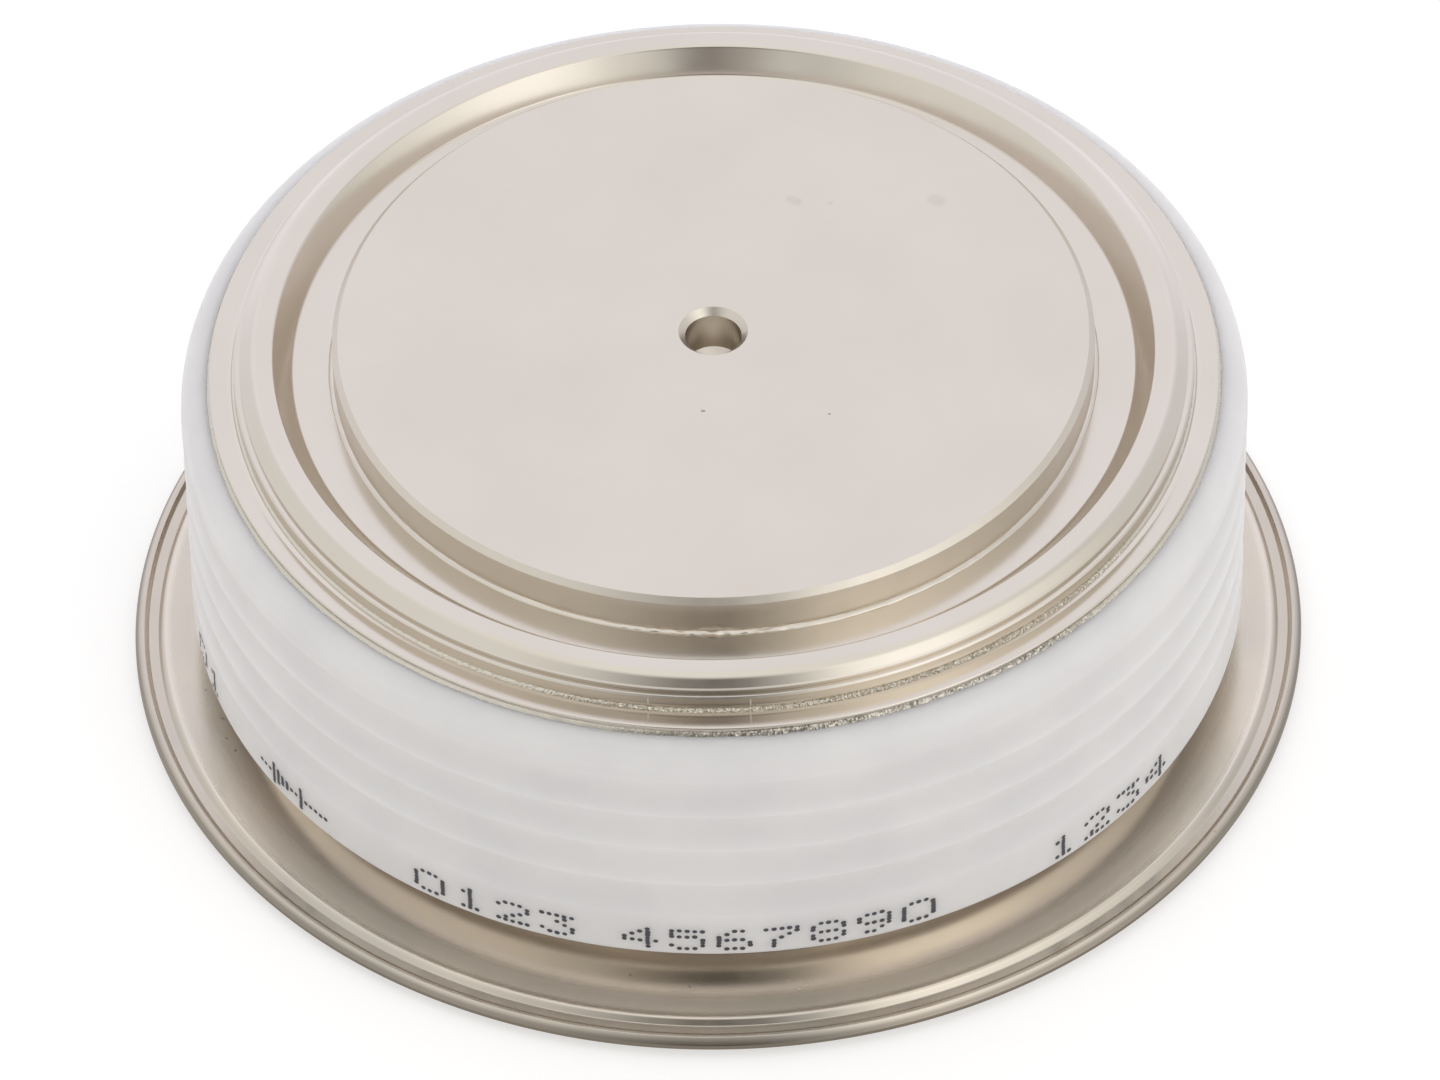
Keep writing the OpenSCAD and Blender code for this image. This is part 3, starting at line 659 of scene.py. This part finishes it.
def spun_piece(name, outline, steps, angle=35):
    """A closed ring: the outline is drawn point by point in the XZ plane and turned round Z."""
    bpy.ops.object.select_all(action="DESELECT")
    bpy.ops.mesh.primitive_plane_add(size=MM)
    piece = bpy.context.object
    piece.name = name
    bpy.ops.object.mode_set(mode="EDIT")
    bpy.ops.mesh.select_all(action="SELECT")
    bpy.ops.mesh.merge(type="CENTER")
    corners = [Vector((point[0], 0, point[1])) * MM for point in outline]
    bpy.ops.transform.translate(value=corners[0])
    for here, there in zip(corners, corners[1:] + corners[:1]):
        bpy.ops.mesh.extrude_region_move(TRANSFORM_OT_translate={"value": there - here})
    bpy.ops.mesh.select_all(action="SELECT")
    bpy.ops.mesh.remove_doubles(threshold=WELD)
    bpy.ops.mesh.select_all(action="SELECT")
    bpy.ops.mesh.spin(steps=steps, angle=2 * math.pi, center=(0, 0, 0), axis=(0, 0, 1))
    bpy.ops.mesh.select_all(action="SELECT")
    bpy.ops.mesh.remove_doubles(threshold=WELD)
    bpy.ops.mesh.normals_make_consistent(inside=False)
    bpy.ops.object.mode_set(mode="OBJECT")
    if angle:
        bpy.ops.object.shade_smooth_by_angle(angle=math.radians(angle))
    return piece


def closed(piece):
    """Raises an error where a piece isn't one closed shell with its faces outwards."""
    mesh = bmesh.new()
    mesh.from_mesh(piece.data)
    whole = all(edge.is_manifold for edge in mesh.edges)
    volume = mesh.calc_volume(signed=True)
    mesh.free()
    if not whole or volume <= 0:
        raise RuntimeError(f"{piece.name} isn't closed, or its faces point inwards")


def settle(piece, slot, *nodes):
    """Checks a finished piece, ties it to the body and hides the nodes that it stands for; its slot is
    not used.
    """
    closed(piece)
    for node in nodes:
        low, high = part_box(node)
        for side in (0, 1, 2):
            spots = [vertex.co[side] for vertex in piece.data.vertices]
            if min(spots) < low[side] - NODE_MARGIN or max(spots) > high[side] + NODE_MARGIN:
                raise RuntimeError(f"{piece.name} reaches past {node}")
    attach(piece, "root")
    if nodes:
        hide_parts(*nodes)


def loosen(piece, name, weigh):
    """A vertex group of the points that may move, each with the weight that the test gives it."""
    group = piece.vertex_groups.new(name=name)
    for vertex in piece.data.vertices:
        spot = vertex.co / MM
        weight = weigh(math.hypot(spot.x, spot.y), spot.z, math.degrees(math.atan2(spot.y, spot.x)))
        if weight > 0:
            group.add([vertex.index], min(weight, 1.0), "REPLACE")


def within(turn, stretch):
    """1 in the middle of a stretch round the ring, and less towards its ends."""
    middle, reach, peak = stretch
    return max(0.0, min(1.0, peak - abs(turn - middle) / reach))


def roughen(piece, group, size, strength, middle=0.5):
    """Moves the loosened points in and out by noise with lumps of the given size."""
    texture = bpy.data.textures.new(f"{piece.name}_{group}_{size / MM:.2f}", type="CLOUDS")
    texture.noise_scale = size
    texture.noise_depth = 1
    modifier = piece.modifiers.new("roughen", "DISPLACE")
    modifier.texture = texture
    modifier.texture_coords = "LOCAL"
    modifier.mid_level = middle
    modifier.strength = strength
    modifier.vertex_group = group
    bpy.ops.object.select_all(action="DESELECT")
    bpy.context.view_layer.objects.active = piece
    piece.select_set(True)
    bpy.ops.object.modifier_apply(modifier=modifier.name)


class DIODE_OT_sheets(bpy.types.Operator):
    """Upper and lower diaphragm and the housing flange, formed from plated sheet"""

    bl_idname = "diode.sheets"
    bl_label = "Form the sheets"

    def execute(self, context):
        # The diaphragm's skirt and the flange get painted highlights as near-white strokes
        closure = nickel_plate("sheet_nickel_plated_drawn", roughness=0.18, wave=0.016 * MM,
                               painted_highlights=SKIRT_PAINTED_HIGHLIGHTS)
        flange = nickel_plate("sheet_nickel_plated_rolled", roughness=0.19, wave=0.02 * MM,
                              dull=FLANGE_DULL, painted_highlights=FLANGE_PAINTED_HIGHLIGHTS, speck_share=0.05, film=0.42)
        for node, outline, material in (
                ("upper_diaphragm", UPPER_DIAPHRAGM, closure),
                ("housing_flange", HOUSING_FLANGE, flange),
                ("lower_diaphragm", LOWER_DIAPHRAGM, flange)):
            piece = spun_piece(f"{node}_formed", rounded(outline), sizes().spin_steps)
            finish(piece, material)
            settle(piece, "plated_sheet", node)
        return {"FINISHED"}


class DIODE_OT_ceramic(bpy.types.Operator):
    """Grooved ceramic ring under a white glaze"""

    bl_idname = "diode.ceramic"
    bl_label = "Turn the ceramic"

    def execute(self, context):
        piece = spun_piece("ceramic_ring_glazed", ceramic_outline(), sizes().spin_steps)
        finish(piece, glazed_alumina())
        settle(piece, "ceramic_white", "ceramic_ring")
        return {"FINISHED"}


class DIODE_OT_cap_ring(bpy.types.Operator):
    """Cap ring on the ceramic, its top dished a little towards the seal ring"""

    bl_idname = "diode.cap_ring"
    bl_label = "Turn the cap ring"

    def execute(self, context):
        piece = spun_piece("cap_ring_turned", rounded(CAP_RING), sizes().spin_steps)
        finish(piece, nickel_plate("cap_ring_nickel_plated", roughness=0.16, wave=0.008 * MM))
        settle(piece, "plated_ring", "cap_ring")
        return {"FINISHED"}


class DIODE_OT_pole_fillets(bpy.types.Operator):
    """Wavy fillets of braze between the poles and their sheets"""

    bl_idname = "diode.pole_fillets"
    bl_label = "Run the pole fillets"

    def execute(self, context):
        material = nickel_plate("silver_braze_flowed_plated", roughness=0.20, wave=0.02 * MM)
        for node, outline, upper in (
                ("upper_pole_braze", UPPER_POLE_FILLET, True),
                ("lower_pole_braze", mirrored(UPPER_POLE_FILLET), False)):
            piece = spun_piece(f"{node}_fillet", outline, FILLET_STEPS, angle=60)
            loosen(piece, "bead", lambda r, z, turn: self.weigh(r, z, turn, upper))
            loosen(piece, "lumps", lambda r, z, turn: self.lumpy(r, z, turn, upper))
            roughen(piece, "bead", size=sizes().fillet_wave_length, strength=sizes().fillet_wave)
            roughen(piece, "lumps", size=0.7 * MM, strength=3 * sizes().fillet_wave, middle=0.35)
            finish(piece, material)
            settle(piece, "braze", node)
        return {"FINISHED"}

    def weigh(self, r, z, turn, upper):
        """How far a point may move: all along the free side, and more where the front ran lumpy."""
        inner, outer, foot = FILLET_FREE
        if not inner < r < outer or (z < foot if upper else z > POLE_MIRROR - foot):
            return 0
        return 0.45 + 0.55 * within(turn, FILLET_WAVY)

    def lumpy(self, r, z, turn, upper):
        """Only where the front ran lumpy."""
        return self.weigh(r, z, turn, upper) * within(turn, FILLET_LUMPY)


class DIODE_OT_seal_bead(bpy.types.Operator):
    """Crystalline bead of braze at the foot of the seal ring"""

    bl_idname = "diode.seal_bead"
    bl_label = "Run the seal ring's bead"

    def execute(self, context):
        piece = spun_piece("seal_ring_bead", SEAL_RING_BEAD, BEAD_STEPS, angle=0)
        loosen(piece, "bead", self.weigh)
        roughen(piece, "bead", size=2.5 * MM, strength=sizes().bead_lump)
        roughen(piece, "bead", size=sizes().grain, strength=1.2 * sizes().bead_lump)
        finish(piece, braze_metal("silver_braze_crystalline", roughness=0.13, grain=sizes().grain,
                                  depth=0.08 * MM, dark=colours().braze_dark, reach=26 * MM))
        settle(piece, "braze", "seal_ring_braze")
        return {"FINISHED"}

    def weigh(self, r, z, turn):
        """How far a point may move: a little all round, and most along the front."""
        if r < BEAD_FREE[0] or z < BEAD_FREE[1]:
            return 0
        return 0.25 + 0.75 * within(turn, BEAD_ROUGH)


class DIODE_OT_cap_solder(bpy.types.Operator):
    """Solder of the cap ring, squeezed out onto the ceramic at the front"""

    bl_idname = "diode.cap_solder"
    bl_label = "Run the cap ring's solder"

    def execute(self, context):
        piece = spun_piece("cap_ring_solder", CAP_RING_SOLDER, BEAD_STEPS, angle=0)
        loosen(piece, "bead", self.free)
        loosen(piece, "flow", self.flowed)
        roughen(piece, "bead", size=1.4 * MM, strength=0.8 * sizes().bead_lump)
        roughen(piece, "flow", size=1.1 * MM, strength=4.0 * sizes().bead_lump, middle=0.2)
        roughen(piece, "flow", size=sizes().grain, strength=1.2 * sizes().bead_lump)
        finish(piece, braze_metal("solder_grey_crystalline", roughness=0.30, grain=0.13 * MM,
                                  depth=0.02 * MM, dark=colours().solder_dark, reach=29.5 * MM))
        settle(piece, "braze", "cap_ring_braze")
        return {"FINISHED"}

    def free(self, r, z, turn):
        """1 on the free side of the bead."""
        return 1.0 if r > SOLDER_FREE[0] and z > SOLDER_FREE[1] else 0

    def flowed(self, r, z, turn):
        """Most where the solder ran out at the front, some on the right, none elsewhere."""
        flow = max(within(turn, SOLDER_FRONT), 0.45 * within(turn, SOLDER_RIGHT))
        return self.free(r, z, turn) * flow


class DIODE_OT_neck_fillet(bpy.types.Operator):
    """Hollow fillet of braze in the corner between the flange's neck and the ceramic's foot"""

    bl_idname = "diode.neck_fillet"
    bl_label = "Run the neck's fillet"

    def execute(self, context):
        outline = arc(*NECK_FILLET_ARC) + [Vector(point) for point in NECK_FILLET_BACK]
        piece = spun_piece("neck_fillet", outline, sizes().spin_steps)
        finish(piece, nickel_plate("silver_braze_neck_plated", roughness=0.20, wave=0.01 * MM))
        settle(piece, "braze")
        return {"FINISHED"}


class DIODE_OT_ink_marks(bpy.types.Operator):
    """Plain digits and the sign for a diode, printed in ink dots on the ceramic's lower band"""

    bl_idname = "diode.ink_marks"
    bl_label = "Print the marks"

    def execute(self, context):
        chance = random.Random(SCATTER_SEED)
        first = self.dot()
        dots = [first]
        for rows, start in self.lines():
            for row, held in enumerate(rows.split()):
                for column, on in enumerate(held):
                    if on == "1":
                        turn = math.radians(start) + column * sizes().column_pitch / (WALL * MM)
                        rise = sizes().mark_foot + (TOP_ROW - row) * sizes().row_pitch
                        dots.append(self.printed(first, turn, rise, chance))
        bpy.ops.object.select_all(action="DESELECT")
        bpy.data.objects.remove(dots.pop(0))
        for dot in dots:
            dot.select_set(True)
        bpy.context.view_layer.objects.active = dots[0]
        bpy.ops.object.join()
        piece = bpy.context.object
        piece.name = "ink_marks"
        finish(piece, self.ink())
        closed(piece)
        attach(piece, "root")
        return {"FINISHED"}

    def lines(self):
        """Each sign with the angle round the ring where it starts."""
        made = [(DIODE_SIGN, SIGN_START)]
        step = math.degrees(sizes().digit_pitch / (WALL * MM))
        for run, start in DIGIT_RUNS:
            made += [(DIGITS[digit], start + i * step) for i, digit in enumerate(run)]
        return made

    def dot(self):
        """One domed dot, lying flat at the origin with its top towards +Z."""
        bpy.ops.object.select_all(action="DESELECT")
        bpy.ops.mesh.primitive_circle_add(vertices=10, radius=0.5 * MM, fill_type="NGON",
                                          location=(0, 0, -DOT_SINK * MM))
        dot = bpy.context.object
        bpy.ops.object.transform_apply(location=True, rotation=False, scale=False)
        bpy.ops.object.mode_set(mode="EDIT")
        bpy.ops.mesh.select_all(action="SELECT")
        bpy.ops.transform.resize(value=(sizes().dot_width / MM, sizes().dot_height / MM, 1))
        bpy.ops.mesh.extrude_region_move(TRANSFORM_OT_translate={"value": (0, 0, DOT_WALL * MM)})
        bpy.ops.mesh.inset(thickness=DOT_BEVEL * MM)
        bpy.ops.transform.translate(value=(0, 0, DOT_DOME * MM))
        bpy.ops.mesh.select_all(action="SELECT")
        bpy.ops.mesh.normals_make_consistent(inside=False)
        bpy.ops.object.mode_set(mode="OBJECT")
        return dot

    def printed(self, first, turn, rise, chance):
        """A copy of the dot on the wall, a little off its place and size as a jet leaves it."""
        dot = first.copy()
        dot.data = first.data.copy()
        bpy.context.collection.objects.link(dot)
        turn += chance.uniform(-DOT_SCATTER, DOT_SCATTER) * MM / (WALL * MM)
        rise += chance.uniform(-DOT_SCATTER, DOT_SCATTER) * MM
        out = Vector((math.cos(turn), math.sin(turn), 0))
        side = Vector((-math.sin(turn), math.cos(turn), 0))
        axes = Matrix((side, Vector((0, 0, 1)), out)).transposed().to_4x4()
        size = chance.uniform(*DOT_SIZES)
        spot = out * WALL * MM + Vector((0, 0, rise))
        dot.data.transform(Matrix.Translation(spot) @ axes @ Matrix.Diagonal((size, size, 1, 1)))
        return dot

    def ink(self):
        """Drying ink from a jet: near black, faintly blue, uneven where it soaks into the glaze."""
        material, tree, shader, place = new_material("ink_jet_dried")
        patch = add_node(tree, "ShaderNodeTexNoise",
                         {"Vector": place, "Scale": 1 / INK_PATCH, "Detail": 2.0}).outputs[0]
        colour = add_node(tree, "ShaderNodeMix",
                          {0: patch, 6: rgba(colours().ink), 7: rgba(linear(INK_THIN))},
                          data_type="RGBA").outputs[2]
        rough = add_node(tree, "ShaderNodeMapRange",
                         {0: patch, 1: SHINE_LOW, 2: SHINE_HIGH, 3: 0.45, 4: 0.65}).outputs[0]
        dress(tree, shader, colour, rough, patch, INK_HEIGHT)
        return material


class DIODE_OT_machined(bpy.types.Operator):
    """Nickel plate on the poles and the rings, and braze under the ceramic"""

    bl_idname = "diode.machined"
    bl_label = "Plate the poles and rings"

    def execute(self, context):
        lapped = nickel_plate("copper_nickel_plated_lapped", roughness=0.32, wave=0.004 * MM,
                              dull=FACE_SPOTS, smudges=FACE_SMUDGES)
        # The seal ring's wall gets painted highlights as near-white strokes
        turned = nickel_plate("ring_nickel_plated_turned", roughness=0.20, wave=0.008 * MM,
                              painted_highlights=WALL_PAINTED_HIGHLIGHTS)
        for name in ("upper_pole", "lower_pole"):
            finish(NODES[name], lapped)
        finish(NODES["seal_ring"], turned)
        finish(NODES["housing_flange_braze"],
               braze_metal("silver_braze_hidden", roughness=0.30, grain=0.2 * MM, depth=0.01 * MM,
                           dark=colours().braze_dark, reach=26 * MM))
        return {"FINISHED"}


class DIODE_OT_stack(bpy.types.Operator):
    """Finishes of the pieces inside the housing"""

    bl_idname = "diode.stack"
    bl_label = "Finish the stack"

    def execute(self, context):
        # Name, two colours, metallic, roughness, grain and depth of each finish
        for nodes, look in (
                (("anode_disc", "cathode_disc"),
                 ("molybdenum_lapped", "#8E9096", "#7E8088", 1.0, 0.38, 0.08 * MM, 0.002 * MM)),
                (("silicon_wafer",),
                 ("silicon_polished", "#3C404C", "#343844", 1.0, 0.12, 0.5 * MM, 0.0005 * MM)),
                (("lower_foil", "upper_foil"),
                 ("silver_foil_rolled", "#E8E8E6", "#DCDAD4", 1.0, 0.18, 0.2 * MM, 0.002 * MM)),
                (("passivation_ring",),
                 ("silicone_cast_tan", "#C2A47E", "#B89A74", 0.0, 0.42, 0.6 * MM, 0.01 * MM)),
                (("centring_ring",),
                 ("ptfe_turned_white", "#F0F0EC", "#E8E8E2", 0.0, 0.5, 0.3 * MM, 0.006 * MM))):
            material = plain_finish(*look)
            for node in nodes:
                finish(NODES[node], material)
        return {"FINISHED"}


class DIODE_OT_stage(bpy.types.Operator):
    """Pale floor, soft tent light and the camera"""

    bl_idname = "diode.stage"
    bl_label = "Set the stage"

    def execute(self, context):
        self.floor()
        self.tent()
        self.camera()
        context.scene.view_settings.view_transform = "Standard"
        return {"FINISHED"}

    def floor(self):
        """A sheet of pale paper, just below the lower face."""
        bpy.ops.object.select_all(action="DESELECT")
        bpy.ops.mesh.primitive_plane_add(size=PAPER_WIDTH, location=(0, 0, -PAPER_DROP))
        floor = bpy.context.object
        floor.name = "floor"
        material, tree, shader, place = new_material("paper_matt_white")
        cloud = add_node(tree, "ShaderNodeTexNoise",
                         {"Vector": place, "Scale": 1 / PAPER_CLOUD, "Detail": 3.0}).outputs[0]
        colour = add_node(tree, "ShaderNodeMix",
                          {0: cloud, 6: rgba(colours().floor), 7: rgba(linear(FLOOR_CLOUD))},
                          data_type="RGBA").outputs[2]
        rough = add_node(tree, "ShaderNodeMapRange",
                         {0: cloud, 1: SHINE_LOW, 2: SHINE_HIGH, 3: 0.85, 4: 0.95}).outputs[0]
        dress(tree, shader, colour, rough, cloud, PAPER_HEIGHT)
        shader.inputs["Emission Color"].default_value = (1, 1, 1, 1)
        shader.inputs["Emission Strength"].default_value = PAPER_GLOW
        finish(floor, material)
        # The metal mirrors the tent below the horizon instead of the white paper
        floor.visible_glossy = False

    def tent(self):
        """A white tent all round, with the narrow dark opening that the camera looks through."""
        world = bpy.data.worlds.new("studio_tent")
        bpy.context.scene.world = world
        world.use_nodes = True
        tree = world.node_tree
        back = tree.nodes["Background"]
        way = add_node(tree, "ShaderNodeTexCoord").outputs["Generated"]
        parts = add_node(tree, "ShaderNodeSeparateXYZ", {0: way})
        ahead = add_node(tree, "ShaderNodeMath", {0: parts.outputs[1], 1: -1.0},
                         operation="MULTIPLY").outputs[0]
        turn = add_node(tree, "ShaderNodeMath", {0: parts.outputs[0], 1: ahead},
                        operation="ARCTAN2").outputs[0]
        turn = add_node(tree, "ShaderNodeMapRange",
                        {0: turn, 1: -math.pi, 2: math.pi, 3: 0.0, 4: 1.0}).outputs[0]
        rise = add_node(tree, "ShaderNodeMath", {0: parts.outputs[2], 1: 0.5, 2: 0.5},
                        operation="MULTIPLY_ADD").outputs[0]
        around = add_node(tree, "ShaderNodeValToRGB", {0: turn})
        height = add_node(tree, "ShaderNodeValToRGB", {0: rise})
        self.fill(around, TENT_ROUND)
        self.fill(height, TENT_HEIGHT)
        above = add_node(tree, "ShaderNodeMapRange",
                         {0: parts.outputs[2], 1: TENT_FOOT[0], 2: TENT_FOOT[1], 3: 0.0, 4: 1.0},
                         interpolation_type="SMOOTHSTEP").outputs[0]
        below = add_node(tree, "ShaderNodeMapRange",
                         {0: parts.outputs[2], 1: TENT_TOP[0], 2: TENT_TOP[1], 3: 1.0, 4: 0.0},
                         interpolation_type="SMOOTHSTEP").outputs[0]
        share = add_node(tree, "ShaderNodeMath", {0: above, 1: below}, operation="MULTIPLY").outputs[0]
        seen = add_node(tree, "ShaderNodeMix", {0: share, 6: height.outputs[0], 7: around.outputs[0]},
                        data_type="RGBA").outputs[2]
        # The opening is darkest round the lens and greyer below it, where the table reaches
        apron = None
        for value, marks in ((turn, APRON_ROUND), (parts.outputs[2], APRON_HEIGHT)):
            for low, high, start, end in ((*marks[:2], 0.0, 1.0), (*marks[2:], 1.0, 0.0)):
                edge = add_node(tree, "ShaderNodeMapRange",
                                {0: value, 1: low, 2: high, 3: start, 4: end},
                                interpolation_type="SMOOTHSTEP").outputs[0]
                if apron is None:
                    apron = edge
                else:
                    apron = add_node(tree, "ShaderNodeMath", {0: apron, 1: edge},
                                     operation="MULTIPLY").outputs[0]
        boost = add_node(tree, "ShaderNodeMath", {0: apron, 1: APRON_BOOST, 2: 1.0},
                         operation="MULTIPLY_ADD").outputs[0]
        seen = add_node(tree, "ShaderNodeVectorMath", {0: seen, "Scale": boost},
                        operation="SCALE").outputs[0]
        camera_ray = add_node(tree, "ShaderNodeLightPath").outputs["Is Camera Ray"]
        shown = add_node(tree, "ShaderNodeMix", {0: camera_ray, 6: seen, 7: rgba(linear(BACKDROP))},
                         data_type="RGBA").outputs[2]
        tree.links.new(shown, back.inputs["Color"])
        back.inputs["Strength"].default_value = TENT_STRENGTH

    def fill(self, ramp, stops):
        """Gives a colour ramp its stops."""
        band = ramp.color_ramp
        while len(band.elements) < len(stops):
            band.elements.new(0.5)
        for element, (spot, code) in zip(band.elements, stops):
            element.position = spot
            element.color = rgba(linear(code))

    def camera(self):
        """In front, 43.8 degrees up, with a long lens."""
        rise = math.radians(CAMERA_RISE)
        middle = Vector((0, 0, cad_high.z))
        place = middle + sizes().camera_distance * Vector((0, -math.cos(rise), math.sin(rise)))
        bpy.ops.object.camera_add(location=place)
        camera = bpy.context.object
        camera.name = "camera"
        ahead = (middle - place).normalized()
        right = Vector((1, 0, 0))
        up = right.cross(ahead)
        tip = math.radians(CAMERA_TIP)
        ahead, up = (ahead * math.cos(tip) - up * math.sin(tip),
                     up * math.cos(tip) + ahead * math.sin(tip))
        swing = math.radians(CAMERA_SWING)
        ahead, right = (ahead * math.cos(swing) + right * math.sin(swing),
                        right * math.cos(swing) - ahead * math.sin(swing))
        roll = math.radians(CAMERA_ROLL)
        right, up = (right * math.cos(roll) + up * math.sin(roll),
                     up * math.cos(roll) - right * math.sin(roll))
        axes = Matrix((right, up, -ahead)).transposed().to_4x4()
        camera.matrix_world = Matrix.Translation(place) @ axes
        camera.data.sensor_width = SENSOR
        camera.data.lens = PIXELS_PER_MM * CAMERA_DISTANCE * SENSOR / FRAME_WIDTH
        camera.data.clip_start = 0.01
        camera.data.clip_end = 10
        bpy.context.scene.camera = camera


class DIODE_PT_panel(bpy.types.Panel):
    """The diode's sizes, colours and steps"""

    bl_idname = "DIODE_PT_panel"
    bl_label = "Diode"
    bl_space_type = "VIEW_3D"
    bl_region_type = "UI"
    bl_category = "Diode"

    def draw(self, context):
        for group in (context.scene.diode_sizes, context.scene.diode_colours):
            for key in group.__annotations__:
                self.layout.prop(group, key)
        for step in STEPS:
            self.layout.operator(step.bl_idname)


STEPS = (DIODE_OT_sheets, DIODE_OT_ceramic, DIODE_OT_cap_ring, DIODE_OT_pole_fillets,
         DIODE_OT_seal_bead, DIODE_OT_cap_solder, DIODE_OT_neck_fillet, DIODE_OT_ink_marks,
         DIODE_OT_machined, DIODE_OT_stack, DIODE_OT_stage)
CLASSES = (DiodeSizes, DiodeColours, *STEPS, DIODE_PT_panel)


def register():
    for item in CLASSES:
        bpy.utils.register_class(item)
    bpy.types.Scene.diode_sizes = bpy.props.PointerProperty(type=DiodeSizes)
    bpy.types.Scene.diode_colours = bpy.props.PointerProperty(type=DiodeColours)


def unregister():
    del bpy.types.Scene.diode_colours
    del bpy.types.Scene.diode_sizes
    for item in reversed(CLASSES):
        bpy.utils.unregister_class(item)


def main():
    register()
    bpy.ops.diode.sheets()
    bpy.ops.diode.ceramic()
    bpy.ops.diode.cap_ring()
    bpy.ops.diode.pole_fillets()
    bpy.ops.diode.seal_bead()
    bpy.ops.diode.cap_solder()
    bpy.ops.diode.neck_fillet()
    bpy.ops.diode.ink_marks()
    bpy.ops.diode.machined()
    bpy.ops.diode.stack()
    bpy.ops.diode.stage()


if __name__ == "__main__":
    main()
